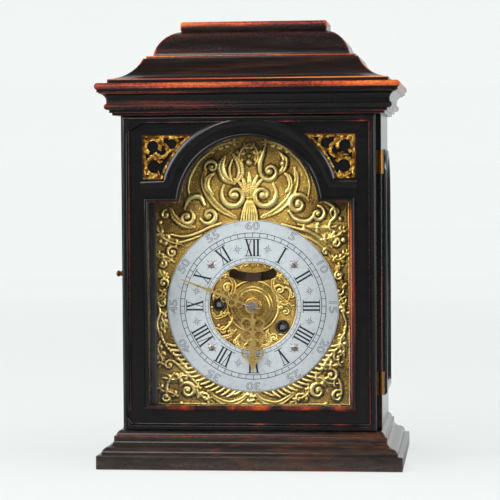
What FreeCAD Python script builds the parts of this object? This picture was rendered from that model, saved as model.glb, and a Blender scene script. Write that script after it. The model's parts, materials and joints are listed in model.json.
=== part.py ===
import FreeCAD, Part
import math
import os
import re

import Sketcher
from FreeCAD import Placement, Rotation, Vector

# Bracket clock, about 1750, in an ebonised case with a glazed front door.
# Millimetres. X is to the right, Y to the back, Z up. The origin is the middle of
# the base, on the surface that the clock stands on. The front faces -Y.

doc = FreeCAD.newDocument("BracketClock")
sheet = doc.addObject("Spreadsheet::Sheet", "Sizes")

# ---------------------------------------------------------------- driving sizes

SIZES = {
    # plinth
    "plinth_width": 290, "plinth_depth": 200, "plinth_height": 36,
    "block_height": 14, "block_ledge": 4.5, "ogee_inset": 15, "ogee_top": 28,
    "fillet_top": 31, "fillet_step": 2,
    # carcass
    "carcass_inset": 20.5, "side_thickness": 12, "base_thickness": 16,
    "cornice_bottom": 335.5, "cornice_height": 30.5, "top_thickness": 16,
    "rear_rail_height": 34,
    # windows in the two sides
    "window_half": 40, "window_sill": 75, "window_spring": 254, "window_centre_y": 9,
    "window_moulding_width": 9, "window_moulding_height": 4, "glass_thickness": 2.2,
    "glass_margin": 5,
    # cornice, as insets from the outline of the plinth
    "cornice_lip": 16, "cornice_step": 13.5, "bead_inset": 9.1, "neck_inset": 11.2,
    "cove_inset": 5, "torus_inset": 1.3,
    # caddy top
    "caddy_inset": 12, "caddy_fillet": 4, "sweep_inset": 42, "sweep_rise": 20.5,
    "sweep_step": 2.5, "dome_inset": 50.5, "dome_top_inset": 75, "dome_rise": 24.5,
    "cap_inset": 73.8, "cap_thickness": 9.5,
    # front door
    "door_setback": 16, "door_margin": 4.5, "door_stile": 24, "door_thickness": 18,
    "door_half": "=plinth_width / 2 - carcass_inset - door_margin",
    "door_gap": 0.5, "door_foot_gap": 0.6, "door_head_gap": 0.8, "moulding_height": 3.5,
    "edge_moulding_width": 7, "sight_half": "=door_half - door_stile",
    "sight_sill": 60, "sight_shoulder": 253,
    "sight_radius": 66, "arch_centre": 248.5, "sight_moulding_width": 4.8,
    "rebate_margin": 4, "rebate_depth": 10, "bead_depth": 4,
    "spandrel_edge": 19.4, "spandrel_half": "=door_half - spandrel_edge",
    "spandrel_sill": 275, "spandrel_head": 316.5,
    "spandrel_radius": 86.5, "spandrel_recess": 4, "fret_thickness": 1.4,
    "fret_border": 2.2, "fret_gap": 0.3, "cloth_thickness": 0.8,
    # mask and dial
    "mask_setback": 4, "mask_thickness": 13, "mask_step": 2.5, "mask_sill": 56,
    "mask_half": "=sight_half - mask_step", "mask_radius": 67,
    "dial_thickness": 2, "dial_lap": 4, "dial_centre": 152.2,
    "ring_margin": 10.5, "ring_radius": "=mask_half - ring_margin", "ring_bore": 42.3, "ring_thickness": 1.8, "ring_screw_circle": 56.5,
    "screw_radius": 3.2, "screw_head": 1.2, "screw_shank": 1.2,
    "boss_radius": 22.5, "boss_height": 2.8, "boss_tread": 6,
    "slot_radius": 55, "slot_half_width": 4.4, "slot_half_angle": 20,
    # hands
    "minute_length": 73.5, "hour_length": 63.5, "hand_thickness": 1.2, "hand_space": 2.2,
    "hour_lift": 5.3, "pin_length": 6, "pin_step": 0.8, "collet_height": 2.4,
    "collet_flange": 1.6, "taper_pin_radius": 0.8,
    # movement
    "motion_space": 13, "plate_thickness": 2.5, "pillar_length": 48, "plate_half": 60,
    "plate_sill": 84, "plate_head": 244, "pillar_radius": 3.6, "pillar_margin": 6,
    "pillar_collar": 1.2,
    "seat_thickness": 10, "seat_back": 26, "cleat_size": 12, "running_gap": 0.05,
    "pivot_radius": 1.2, "arbor_radius": 1.6, "stud_radius": 0.7, "winder_radius": 3, "winder_square": 4.1,
    "centre_radius": 1.8, "cannon_wall": 1.2, "hour_wall": 1.2, "end_shake": 0.2,
    "dial_foot_radius": 3, "dial_foot_x": 50, "dial_foot_low": -44, "dial_foot_high": 50,
    "going_x": 28.4, "going_z": -20.2, "strike_x": -32.8, "strike_z": 1.6,
    "barrel_length": 34, "going_barrel_radius": 24, "strike_barrel_radius": 20.5,
    "wheel_thickness": 1.6, "going_teeth": 64, "strike_teeth": 52,
    "pinion_leaves": 8, "going_module": 0.968, "strike_module": 0.9,
    "centre_teeth": 60, "centre_module": 0.65, "motion_teeth": 30, "motion_module": 0.8,
    "hour_teeth": 72, "minute_leaves": 6, "pin_teeth": 48, "fly_leaves": 6,
    "fly_module": 0.6, "strike_angle": 75, "fly_angle": 100,
    "contrate_radius": 17, "contrate_depth": 4, "crown_radius": 11, "crown_teeth": 15,
    "verge_height": 82.8, "pendulum_length": 150, "bob_radius": 14, "bob_thickness": 7,
    "bob_edge": 4, "bob_step": 3,
    "mock_bob_radius": 7.5, "mock_bob_drop": 54.5,
    # bell
    "bell_radius": 32, "bell_height": 22, "bell_wall": 1.6, "bell_mouth": 252,
    "bell_setback": 4, "bell_boss": 4, "bell_crown": 18, "bell_skirt": 9, "stand_width": 6, "stand_thickness": 3, "stand_offset": 15,
    "hammer_x": -50, "hammer_z": 36, "hammer_head": 4, "hammer_gap": 1.2,
    # hinges, catch and rear door
    "hinge_inset": 0.5, "hinge_x": "=plinth_width / 2 - carcass_inset - hinge_inset",
    "knuckle_radius": 2.7, "hinge_length": 22, "hinge_low": 69,
    "hinge_high": 279, "leaf_thickness": 0.9, "leaf_width": 14, "hinge_pin_radius": 1.1,
    "knuckle_gap": 0.3, "catch_height": 184, "catch_setback": 12.5, "catch_stem": 1.5,
    "catch_y": "=door_setback + moulding_height + door_thickness + catch_setback"
               " - plinth_depth / 2",
    "catch_collar": 3.5, "catch_reach": 7.5, "catch_arm": 15, "mortise_half": 4,
    "mortise_gap": 1, "mortise_depth": 5,
    "rear_door_thickness": 14, "rear_door_gap": 1, "rear_door_sill": 51,
    "rear_stile": 20, "rear_hinge_low": 80, "rear_hinge_high": 290,
    "rear_knuckle_radius": 2.2, "latch_height": 190, "latch_length": 26,
}

for row, (alias, number) in enumerate(SIZES.items(), start=1):
    sheet.set(f"A{row}", alias)
    sheet.set(f"B{row}", str(number))
    sheet.setAlias(f"B{row}", alias)
doc.recompute()


def from_sheet(formula):
    """The formula with every size read from the sheet."""
    return re.sub(r"\b([a-z]+(?:_[a-z0-9]+)+)\b", r"Sizes.\1", str(formula))


def at(formula):
    """The present value of a formula of the sizes."""
    result = sheet.evalExpression(from_sheet(formula))
    return float(getattr(result, "Value", result))


def bind(item, prop, formula):
    item.setExpression(prop, from_sheet(formula))


# Planes that several pieces share, as formulas of the sizes.
CARCASS_X = "(plinth_width / 2 - carcass_inset)"
CARCASS_BACK = "(plinth_depth / 2 - carcass_inset)"
INNER_X = f"({CARCASS_X} - side_thickness)"
DOOR_FRONT = "(door_setback - plinth_depth / 2)"
DOOR_FACE = f"({DOOR_FRONT} + moulding_height)"
DOOR_BACK = f"({DOOR_FACE} + door_thickness)"
CARCASS_FRONT = f"({DOOR_BACK} + door_gap)"
MASK_FRONT = f"({CARCASS_FRONT} + mask_setback)"
DIAL_FRONT = f"({MASK_FRONT} + mask_thickness)"
DIAL_BACK = f"({DIAL_FRONT} + dial_thickness)"
PLATE_FRONT = f"({DIAL_BACK} + motion_space)"
PLATE_INNER = f"({PLATE_FRONT} + plate_thickness)"
BACK_INNER = f"({PLATE_INNER} + pillar_length)"
BACK_OUTER = f"({BACK_INNER} + plate_thickness)"
DOOR_FOOT = "(plinth_height + door_foot_gap)"
DOOR_HEAD = "(cornice_bottom - door_head_gap)"
VERGE_Z = "(dial_centre + verge_height)"
CANNON_BORE = "(centre_radius + running_gap)"
CANNON_OUT = f"({CANNON_BORE} + cannon_wall)"
HOUR_BORE = f"({CANNON_OUT} + running_gap)"
HOUR_OUT = f"({HOUR_BORE} + hour_wall)"


# ---------------------------------------------------------------- drawing helpers

def origin_plane(body, role):
    return next(item for item in body.Origin.OriginFeatures if item.Role == role)


def arc_through(start, end, radius, side):
    """A minor arc from start to end. Side 1 bulges to the left of the way, -1 to the right."""
    chord = end - start
    middle = (start + end) / 2
    left = Vector(-chord.y, chord.x, 0).normalize()
    rise = math.sqrt(max(radius ** 2 - (chord.Length / 2) ** 2, 0))
    centre = middle - left * side * rise
    top = centre + left * side * radius
    return Part.Arc(start, top, end)


def draw(body, plane, loops, level):
    """A sketch on a plane of the body, lifted to level along the plane's normal.

    A loop is a circle ("circle", x, y, radius) or a list of corners (x, y), where
    ("arc", radius, side) between two corners rounds that edge.
    """
    sketch = body.newObject("Sketcher::SketchObject", body.Name + "_outline")
    sketch.AttachmentSupport = [(origin_plane(body, plane), "")]
    sketch.MapMode = "FlatFace"
    bind(sketch, "AttachmentOffset.Base.z", level)

    def hold(kind, geometry, point, formula):
        index = sketch.addConstraint(
            Sketcher.Constraint(kind, -1, 1, geometry, point, at(formula)))
        sketch.setExpression(f"Constraints[{index}]", from_sheet(formula))

    def hold_radius(geometry, formula):
        index = sketch.addConstraint(Sketcher.Constraint("Radius", geometry, at(formula)))
        sketch.setExpression(f"Constraints[{index}]", from_sheet(formula))

    for loop in loops:
        if loop[0] == "circle":
            centre = Vector(at(loop[1]), at(loop[2]), 0)
            circle = Part.Circle(centre, Vector(0, 0, 1), at(loop[3]))
            index = sketch.addGeometry(circle, False)
            hold("DistanceX", index, 3, loop[1])
            hold("DistanceY", index, 3, loop[2])
            hold_radius(index, loop[3])
            continue
        corners = [item for item in loop if item[0] != "arc"]
        bends = {}
        for place, item in enumerate(loop):
            if item[0] == "arc":
                bends[len([one for one in loop[:place] if one[0] != "arc"]) - 1] = item
        points = [Vector(at(corner[0]), at(corner[1]), 0) for corner in corners]
        first = sketch.GeometryCount
        total = len(points)
        for place in range(total):
            start, end = points[place], points[(place + 1) % total]
            if place in bends:
                edge = arc_through(start, end, at(bends[place][1]), bends[place][2])
            else:
                edge = Part.LineSegment(start, end)
            sketch.addGeometry(edge, False)
        for place in range(total):
            # An arc that bulges to the left runs clockwise: its ends are the other way round.
            leave = {True: 1, False: 2}[place in bends and swapped(sketch, first + place, points[place])]
            following = (place + 1) % total
            arrive = 1
            if following in bends and swapped(sketch, first + following, points[following]):
                arrive = 2
            sketch.addConstraint(Sketcher.Constraint(
                "Coincident", first + place, leave, first + following, arrive))
            own = 2 if place in bends and swapped(sketch, first + place, points[place]) else 1
            hold("DistanceX", first + place, own, corners[place][0])
            hold("DistanceY", first + place, own, corners[place][1])
            if place in bends:
                hold_radius(first + place, bends[place][1])
    return sketch


def swapped(sketch, index, start):
    """True where a drawn edge keeps its start point at the far end."""
    return (sketch.getPoint(index, 1) - start).Length > 1e-6


def levels(plane, low, high):
    """Heights along the plane's normal. The XZ plane's normal points to the front, -Y."""
    if plane == "XZ_Plane":
        return f"0 - ({high})", f"0 - ({low})"
    return f"({low})", f"({high})"


def plate(label, plane, loops, low, high):
    """A board, plate or bar: an outline with any holes, from low to high across its plane."""
    body = doc.addObject("PartDesign::Body", label)
    body.Label = label
    bottom, top = levels(plane, low, high)
    pad = body.newObject("PartDesign::Pad", label + "_pad")
    pad.Profile = draw(body, plane, loops, bottom)
    bind(pad, "Length", f"{top} - ({bottom})")
    doc.recompute()
    return body


def sink(body, plane, loops, low, high):
    """A recess in the body from high down to low, which must take material away."""
    before = body.Shape.Volume
    bottom, top = levels(plane, low, high)
    pocket = body.newObject("PartDesign::Pocket", body.Name + "_pocket")
    pocket.Profile = draw(body, plane, loops, top)
    bind(pocket, "Length", f"{top} - ({bottom})")
    doc.recompute()
    if body.Shape.Volume > before - 0.01:
        raise ValueError(f"{body.Label}: a recess cuts nothing")
    return body


def rectangle(x_low, x_high, y_low, y_high):
    return [(x_low, y_low), (x_high, y_low), (x_high, y_high), (x_low, y_high)]


def turned(label, profile, facing, where):
    """A piece turned about its own axis: profile of (radius, height), then set in place."""
    body = doc.addObject("PartDesign::Body", label)
    body.Label = label
    revolution = body.newObject("PartDesign::Revolution", label + "_turning")
    revolution.Profile = draw(body, "XZ_Plane", [profile], "0")
    revolution.ReferenceAxis = (revolution.Profile[0], ["V_Axis"])
    revolution.Angle = 360
    turn = {"up": Rotation(), "back": Rotation(Vector(1, 0, 0), -90),
            "right": Rotation(Vector(0, 1, 0), 90), "left": Rotation(Vector(0, 1, 0), -90)}
    body.Placement = Placement(Vector(), turn[facing])
    for axis, formula in zip("xyz", where):
        bind(body, f"Placement.Base.{axis}", formula)
    return body


def rod(name, radius, y_low, y_high, x_place, z_place):
    """A plain round bar along Y."""
    bar = doc.addObject("Part::Cylinder", name)
    bar.Placement = Placement(Vector(), Rotation(Vector(1, 0, 0), -90))
    bind(bar, "Radius", radius)
    bind(bar, "Height", f"({y_high}) - ({y_low})")
    bind(bar, "Placement.Base.x", x_place)
    bind(bar, "Placement.Base.y", y_low)
    bind(bar, "Placement.Base.z", z_place)
    return bar


def block(name, x_low, x_high, y_low, y_high, z_low, z_high):
    """A plain squared block."""
    item = doc.addObject("Part::Box", name)
    item.Label = name
    ends = {"Length": (x_low, x_high), "Width": (y_low, y_high), "Height": (z_low, z_high)}
    for axis, (prop, (low, high)) in zip("xyz", ends.items()):
        bind(item, prop, f"({high}) - ({low})")
        bind(item, f"Placement.Base.{axis}", low)
    return item


def joined(label, pieces):
    """Pieces that are one solid in the real thing."""
    item = doc.addObject("Part::MultiFuse", label)
    item.Label = label
    item.Shapes = pieces
    item.Refine = True
    return item


def group(label, pieces):
    """Like pieces that share one node, each a solid of its own."""
    item = doc.addObject("Part::Compound", label)
    item.Label = label
    item.Links = pieces
    return item


def less(label, base, tool):
    item = doc.addObject("Part::Cut", label)
    item.Label = label
    item.Base = base
    item.Tool = tool
    return item


def mirrored(name, source):
    """The same piece on the other side of the clock."""
    item = doc.addObject("Part::Mirroring", name)
    item.Source = source
    item.Normal = Vector(1, 0, 0)
    return item


def made(label, shape):
    """A piece whose form is worked out from the sizes, such as a swept moulding."""
    item = doc.addObject("Part::Feature", label)
    item.Label = label
    item.Shape = shape
    return item


# ---------------------------------------------------------------- mitred mouldings

def section_face(path, across):
    """A moulding's section, drawn in (across, height), as a face standing on X or on Y."""
    def place(point):
        if across == "x":
            return Vector(point[0], 0, point[1])
        return Vector(0, point[0], point[1])

    edges = []
    here = path[0]
    for step in path[1:]:
        if len(step) == 4:
            middle, end = (step[0], step[1]), (step[2], step[3])
            edges.append(Part.Arc(place(here), place(middle), place(end)).toShape())
        else:
            end = step
            edges.append(Part.makeLine(place(here), place(end)))
        here = end
    edges.append(Part.makeLine(place(here), place(path[0])))
    return Part.Face(Part.Wire(edges))


def mitred_block(profile, half_width, half_depth):
    """A block whose four sides all carry the same profile of (inset, height)."""
    def outline(half):
        right = []
        for step in profile:
            if len(step) == 4:
                right.append((half - step[0], step[1], half - step[2], step[3]))
            else:
                right.append((half - step[0], step[1]))
        left = [(0, right[-1][-1]), (0, right[0][1])]
        return right + left

    def slab(half, across, run):
        face = section_face(outline(half), across)
        solid = face.extrude(run)
        solid.translate(run * -0.5)
        turn = Placement(Vector(), Rotation(Vector(0, 0, 1), 180))
        other = solid.copy()
        other.transformShape(turn.toMatrix())
        return solid.fuse(other).removeSplitter()

    long_run = slab(half_depth, "y", Vector(2 * half_width + 1, 0, 0))
    short_run = slab(half_width, "x", Vector(0, 2 * half_depth + 1, 0))
    return long_run.common(short_run).removeSplitter()


def mitred_lengths(ring, half_width, half_depth, reach, low, high):
    """The ring sawn at its four mitres into front, right, back and left lengths."""
    corner = [Vector(-half_width, -half_depth, low), Vector(half_width, -half_depth, low),
              Vector(half_width, half_depth, low), Vector(-half_width, half_depth, low)]
    inner = [Vector(point.x - math.copysign(reach, point.x),
                    point.y - math.copysign(reach, point.y), low) for point in corner]
    pieces = []
    for side in range(4):
        after = (side + 1) % 4
        wire = Part.makePolygon([corner[side], corner[after], inner[after], inner[side],
                                 corner[side]])
        wedge = Part.Face(wire).extrude(Vector(0, 0, high - low))
        pieces.extend(ring.common(wedge).Solids)
    return pieces


def framed(profile, half_width, half_depth, wall, low, high):
    """Four mitred lengths of moulding around the carcass, as one compound."""
    ring = mitred_block(profile, half_width, half_depth)
    core = Part.makeBox(2 * (half_width - wall), 2 * (half_depth - wall), high - low + 2,
                        Vector(wall - half_width, wall - half_depth, low - 1))
    return Part.Compound(mitred_lengths(ring.cut(core), half_width, half_depth, wall,
                                        low, high))


def plinth_profile():
    """Square block, small ledge, ogee, fillet and cove, from the floor up."""
    block_top, ledge = at("block_height"), at("block_ledge")
    ogee, ogee_top = at("ogee_inset"), at("ogee_top")
    middle = ((ledge + ogee) / 2, (block_top + ogee_top) / 2)
    bulge = (ogee - ledge) * 0.12
    fillet = at("fillet_top")
    inner, top = at("carcass_inset"), at("plinth_height")
    cove = ogee + at("fillet_step")
    ease = 1.5
    return [(0, 0), (0, block_top - ease), (ease * 0.3, block_top - ease * 0.3, ease, block_top),
            (ledge, block_top),
            ((ledge + middle[0]) / 2 - bulge, (block_top + middle[1]) / 2 + bulge, *middle),
            ((ogee + middle[0]) / 2 + bulge, (ogee_top + middle[1]) / 2 - bulge, ogee, ogee_top),
            (ogee, fillet), (cove, fillet),
            ((cove + inner) / 2 - 0.6, (fillet + top) / 2 + 0.6, inner, top)]


def cornice_profile():
    """Lip, step, bead, neck, cove and the worn torus, from the carcass up."""
    low, inner = at("cornice_bottom"), at("carcass_inset")
    lip, step, neck = at("cornice_lip"), at("cornice_step"), at("neck_inset")
    bead, cove, torus = at("bead_inset"), at("cove_inset"), at("torus_inset")
    top = low + at("cornice_height")
    return [(inner, low), (lip, low), (lip, low + 2.5), (step, low + 2.5), (step, low + 5.2),
            (neck + 0.6, low + 5.2), (bead, low + 8.2, neck, low + 11.2),
            (neck, low + 13.2), (neck - 1.7, low + 18.2, cove, low + 20.6),
            (cove, low + 21.6), (torus + 2, low + 21.6), (torus + 2, low + 24),
            (torus, low + 27, torus + 2, top), (inner, top)]


HALF_W, HALF_D = at("plinth_width / 2"), at("plinth_depth / 2")
WALL = at("carcass_inset")

made("plinth_moulding", framed(plinth_profile(), HALF_W, HALF_D, WALL, 0, at("plinth_height")))
made("cornice_moulding", framed(cornice_profile(), HALF_W, HALF_D, WALL, at("cornice_bottom"),
                                at("cornice_bottom + cornice_height")))


# ---------------------------------------------------------------- caddy top

CADDY_Z = at("cornice_bottom + cornice_height")


def caddy_lower():
    """The hollow-sided lower stage, standing on the cornice and let down inside it."""
    inset, step_up = at("caddy_inset"), at("caddy_fillet")
    sweep, rise = at("sweep_inset"), at("sweep_rise")
    foot = CADDY_Z + step_up
    head = foot + rise
    top = head + at("sweep_step")
    profile = [(inset, CADDY_Z), (inset, foot - 1), (inset + 0.3, foot - 0.3, inset + 1, foot),
               (inset + 0.6 * (sweep - inset) + 1, foot + 0.33 * rise, sweep, head),
               (sweep + 2.5, head), (sweep + 2.5, top)]
    spigot_low = at("cornice_bottom + top_thickness")
    reach_x, reach_y = at(CARCASS_X), at(CARCASS_BACK)
    spigot = Part.makeBox(2 * reach_x, 2 * reach_y, CADDY_Z - spigot_low,
                          Vector(-reach_x, -reach_y, spigot_low))
    return mitred_block(profile, HALF_W, HALF_D).fuse(spigot).removeSplitter(), top


lower_stage, DOME_Z = caddy_lower()
made("caddy_lower", lower_stage)


def caddy_upper():
    """The domed upper stage."""
    inset, top_inset, rise = at("dome_inset"), at("dome_top_inset"), at("dome_rise")
    top = DOME_Z + rise
    profile = [(inset, DOME_Z), (inset, DOME_Z + 1),
               (inset + 0.32 * (top_inset - inset), DOME_Z + 0.64 * rise, top_inset, top)]
    return mitred_block(profile, HALF_W, HALF_D), top


upper_stage, CAP_Z = caddy_upper()
made("caddy_upper", upper_stage)


def caddy_cap():
    """The flat cap with rounded, worn edges."""
    inset, height = at("cap_inset"), at("cap_thickness")
    round_off = 2.4
    profile = [(inset + 0.8, CAP_Z), (inset + 0.2, CAP_Z + 1.2, inset, CAP_Z + 2.4),
               (inset, CAP_Z + height - round_off),
               (inset + 0.3 * round_off, CAP_Z + height - 0.3 * round_off,
                inset + round_off, CAP_Z + height)]
    return mitred_block(profile, HALF_W, HALF_D)


made("caddy_cap", caddy_cap())

# ---------------------------------------------------------------- carcass

plate("base_board", "XY_Plane",
      [rectangle(f"0 - {CARCASS_X}", CARCASS_X, f"0 - {CARCASS_BACK}", CARCASS_BACK)],
      "0", "base_thickness")
plate("top_board", "XY_Plane",
      [rectangle(f"0 - {CARCASS_X}", CARCASS_X, f"0 - {CARCASS_BACK}", CARCASS_BACK)],
      "cornice_bottom", "cornice_bottom + top_thickness")
plate("door_sill", "XY_Plane",
      [rectangle(f"0 - {CARCASS_X}", CARCASS_X, f"0 - {CARCASS_BACK}", CARCASS_FRONT)],
      "base_thickness", "plinth_height")
plate("rear_rail", "XY_Plane",
      [rectangle(f"0 - {INNER_X}", INNER_X, f"{CARCASS_BACK} - rear_door_thickness",
                 CARCASS_BACK)],
      "base_thickness", "base_thickness + rear_rail_height")


def window(margin):
    """The arched window in a side, in (y, z), grown by margin."""
    bend = f"(window_half + {margin})"
    low_y, high_y = f"window_centre_y - {bend}", f"window_centre_y + {bend}"
    sill = f"window_sill - ({margin})"
    return [(low_y, sill), (high_y, sill), (high_y, "window_spring"), ("arc", bend, -1),
            ("window_centre_y", f"window_spring + {bend}"), ("arc", bend, -1),
            (low_y, "window_spring")]


def side_panel(label, sign):
    """A side of the carcass, with its window rebated from inside for the glass."""
    low, high = (INNER_X, CARCASS_X) if sign > 0 else (f"0 - {CARCASS_X}", f"0 - {INNER_X}")
    panel = plate(label, "YZ_Plane",
                  [rectangle(CARCASS_FRONT, CARCASS_BACK, "base_thickness", "cornice_bottom"),
                   window("0")], low, high)
    return panel


left_panel = side_panel("side_panel_left", -1)
right_panel = side_panel("side_panel_right", 1)
sink(left_panel, "YZ_Plane", [window("glass_margin")],
     f"0 - {INNER_X} - glass_thickness", f"0 - {INNER_X}")

# The right panel is rebated from its inner face, the lower one along X.
rebate = right_panel.newObject("PartDesign::Pocket", "right_rebate")
rebate.Profile = draw(right_panel, "YZ_Plane", [window("glass_margin")], INNER_X)
rebate.Reversed = True
bind(rebate, "Length", "glass_thickness")
doc.recompute()

# The catch's spindle passes through the left side.
bore = left_panel.newObject("PartDesign::Pocket", "catch_bore")
bore.Profile = draw(left_panel, "YZ_Plane",
                    [("circle", "catch_y", "catch_height", "catch_stem + running_gap")],
                    f"0 - {INNER_X}")
bind(bore, "Length", "side_thickness + 1")
doc.recompute()


def hinge_notches(panel, low):
    """The right panel's front corner is cut away for a hinge's knuckles and leaf."""
    start = panel.newObject("PartDesign::Pocket", "knuckle_notch")
    start.Profile = draw(panel, "XY_Plane", [
        ("circle", "hinge_x", f"{CARCASS_FRONT} - door_gap / 2",
         "knuckle_radius + knuckle_gap")], f"{low} + hinge_length")
    bind(start, "Length", "hinge_length")
    leaf = panel.newObject("PartDesign::Pocket", "leaf_notch")
    leaf.Profile = draw(panel, "XY_Plane", [
        rectangle(f"{INNER_X} - 1", "hinge_x", f"{CARCASS_FRONT} - 1",
                  f"{CARCASS_FRONT} + leaf_thickness")], f"{low} + hinge_length")
    bind(leaf, "Length", "hinge_length")
    doc.recompute()


for low in ("hinge_low", "hinge_high"):
    hinge_notches(right_panel, low)

right_glass = plate("right_glass", "YZ_Plane", [window("glass_margin - fret_gap")],
                    INNER_X, f"{INNER_X} + glass_thickness")
group("side_glass", [right_glass, mirrored("left_glass", right_glass)])


def side_moulding():
    """The raised moulding round a side window, with a rounded face."""
    width, height = at("window_moulding_width"), at("window_moulding_height")
    half = at("window_half") + width
    face, centre = at(CARCASS_X), at("window_centre_y")
    sill, spring = at("window_sill") - width, at("window_spring")

    def outline(inset, out):
        low, high = centre - half + inset, centre + half - inset
        crown = spring + half - inset
        arch = Part.Arc(Vector(out, high, spring), Vector(out, centre, crown),
                        Vector(out, low, spring)).toShape()
        return Part.Wire([
            Part.makeLine(Vector(out, low, sill + inset), Vector(out, high, sill + inset)),
            Part.makeLine(Vector(out, high, sill + inset), Vector(out, high, spring)), arch,
            Part.makeLine(Vector(out, low, spring), Vector(out, low, sill + inset))])

    def stage(inset, out, width_here, rise, rise_inset):
        foot = Part.makeLoft([outline(inset, out), outline(inset + rise_inset, out + rise)], True)
        hole = Part.makeLoft([outline(inset + width_here, out),
                              outline(inset + width_here - rise_inset, out + rise)], True)
        return foot.cut(hole)

    low_stage = stage(0, face, width, height * 0.55, 0.4)
    high_stage = stage(0.4, face + height * 0.55, width - 0.8, height * 0.45, 2)
    return low_stage.fuse(high_stage).removeSplitter()


right_moulding = made("right_window_moulding", side_moulding())
group("side_mouldings", [right_moulding, mirrored("left_window_moulding", right_moulding)])

# ---------------------------------------------------------------- front door


def arched(half, sill, shoulder, radius, centre):
    """A rectangle with an arch above its shoulders, in (x, z)."""
    foot = f"sqrt(({radius}) ^ 2 - ({shoulder} - {centre}) ^ 2)"
    crown = f"{centre} + {radius}"
    return [(f"0 - ({half})", sill), (half, sill), (half, shoulder), (foot, shoulder),
            ("arc", radius, -1), ("0", crown), ("arc", radius, -1), (f"0 - {foot}", shoulder),
            (f"0 - ({half})", shoulder)]


def spandrel(sign, gap="0"):
    """The three-sided opening between the arch and the door's top corner."""
    outer = f"{sign} * (spandrel_half - {gap})"
    radius = f"(spandrel_radius + {gap})"
    low, high = f"(spandrel_sill + {gap})", f"(spandrel_head - {gap})"
    low_x = f"{sign} * sqrt({radius} ^ 2 - ({low} - arch_centre) ^ 2)"
    high_x = f"{sign} * sqrt({radius} ^ 2 - ({high} - arch_centre) ^ 2)"
    return [(outer, low), (outer, high), (high_x, high), ("arc", radius, sign),
            (low_x, low)]


SIGHT = arched("sight_half", "sight_sill", "sight_shoulder", "sight_radius", "arch_centre")
REBATE = arched("sight_half + rebate_margin", "sight_sill - rebate_margin",
                "sight_shoulder + rebate_margin", "sight_radius + rebate_margin",
                "arch_centre")

door_frame = plate("door_frame", "XZ_Plane",
                   [rectangle("0 - door_half", "door_half", DOOR_FOOT, DOOR_HEAD), SIGHT],
                   DOOR_FACE, DOOR_BACK)


def sink_back(body, loops, face, depth):
    """A recess cut forward from a back face, along -Y."""
    before = body.Shape.Volume
    pocket = body.newObject("PartDesign::Pocket", body.Name + "_back_pocket")
    pocket.Profile = draw(body, "XZ_Plane", loops, f"0 - ({face})")
    pocket.Reversed = True
    bind(pocket, "Length", depth)
    doc.recompute()
    if body.Shape.Volume > before - 0.01:
        raise ValueError(f"{body.Label}: a back recess cuts nothing")


sink_back(door_frame, [REBATE], DOOR_BACK, "rebate_depth")
for side in (1, -1):
    sink(door_frame, "XZ_Plane", [spandrel(side)], DOOR_FACE, f"{DOOR_FACE} + spandrel_recess")
for low in ("hinge_low", "hinge_high"):
    sink_back(door_frame, [rectangle("hinge_x - leaf_width - knuckle_gap", "door_half + 1",
                                     low, f"{low} + hinge_length")], DOOR_BACK,
              "leaf_thickness")
CATCH_X = f"(0 - {INNER_X} + catch_stem * 2)"
# The catch's arm swings down into this mortise, so its head clears the arm's corner.
CATCH_SWING = f"sqrt(catch_arm ^ 2 + (catch_stem * 2) ^ 2 - catch_setback ^ 2)"
sink_back(door_frame, [rectangle(
    f"{CATCH_X} - mortise_half", f"{CATCH_X} + mortise_half",
    "catch_height - catch_stem * 2 - mortise_gap",
    f"catch_height + {CATCH_SWING} + mortise_gap")], DOOR_BACK, "mortise_depth")

plate("door_glass", "XZ_Plane", [arched(
    "sight_half + rebate_margin - fret_gap", "sight_sill - rebate_margin + fret_gap",
    "sight_shoulder + rebate_margin - fret_gap", "sight_radius + rebate_margin - fret_gap",
    "arch_centre")],
    f"{DOOR_BACK} - rebate_depth", f"{DOOR_BACK} - rebate_depth + glass_thickness")
plate("glass_beads", "XZ_Plane", [
    arched("sight_half + rebate_margin - fret_gap", "sight_sill - rebate_margin + fret_gap",
           "sight_shoulder + rebate_margin - fret_gap",
           "sight_radius + rebate_margin - fret_gap", "arch_centre"), SIGHT],
    f"{DOOR_BACK} - rebate_depth + glass_thickness",
    f"{DOOR_BACK} - rebate_depth + glass_thickness + bead_depth")


def door_edge_moulding():
    """The raised moulding round the door's edge, four mitred lengths."""
    width, height = at("edge_moulding_width"), at("moulding_height")
    half, foot, head = at("door_half"), at(DOOR_FOOT), at(DOOR_HEAD)
    half_height = (head - foot) / 2
    outer = [(0, 0), (0, height * 0.45), (width * 0.12, height * 0.86, width * 0.36, height)]
    inner = [(width, 0), (width, height * 0.2),
             (width * 0.9, height * 0.52, width * 0.66, height * 0.6),
             (width * 0.62, height * 0.85), (width * 0.5, height)]
    ring = mitred_block(outer, half, half_height)
    pieces = mitred_lengths(ring.cut(mitred_block(inner, half, half_height)), half,
                            half_height, width, 0, height)
    frame = Part.Compound(pieces)
    frame.Placement = Placement(Vector(0, at(DOOR_FACE), foot + half_height),
                                Rotation(Vector(1, 0, 0), 90))
    return frame


made("door_edge_moulding", door_edge_moulding())


def arch_wire(half, sill, shoulder, radius, depth):
    """The sight opening's outline as a wire at one depth."""
    centre = at("arch_centre")
    foot = math.sqrt(radius ** 2 - (shoulder - centre) ** 2)
    corner = [Vector(-foot, depth, shoulder), Vector(-half, depth, shoulder),
              Vector(-half, depth, sill), Vector(half, depth, sill),
              Vector(half, depth, shoulder), Vector(foot, depth, shoulder)]
    edges = [Part.makeLine(start, end) for start, end in zip(corner, corner[1:])]
    edges.append(Part.Arc(corner[-1], Vector(0, depth, centre + radius),
                          corner[0]).toShape())
    return Part.Wire(edges)


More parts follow.
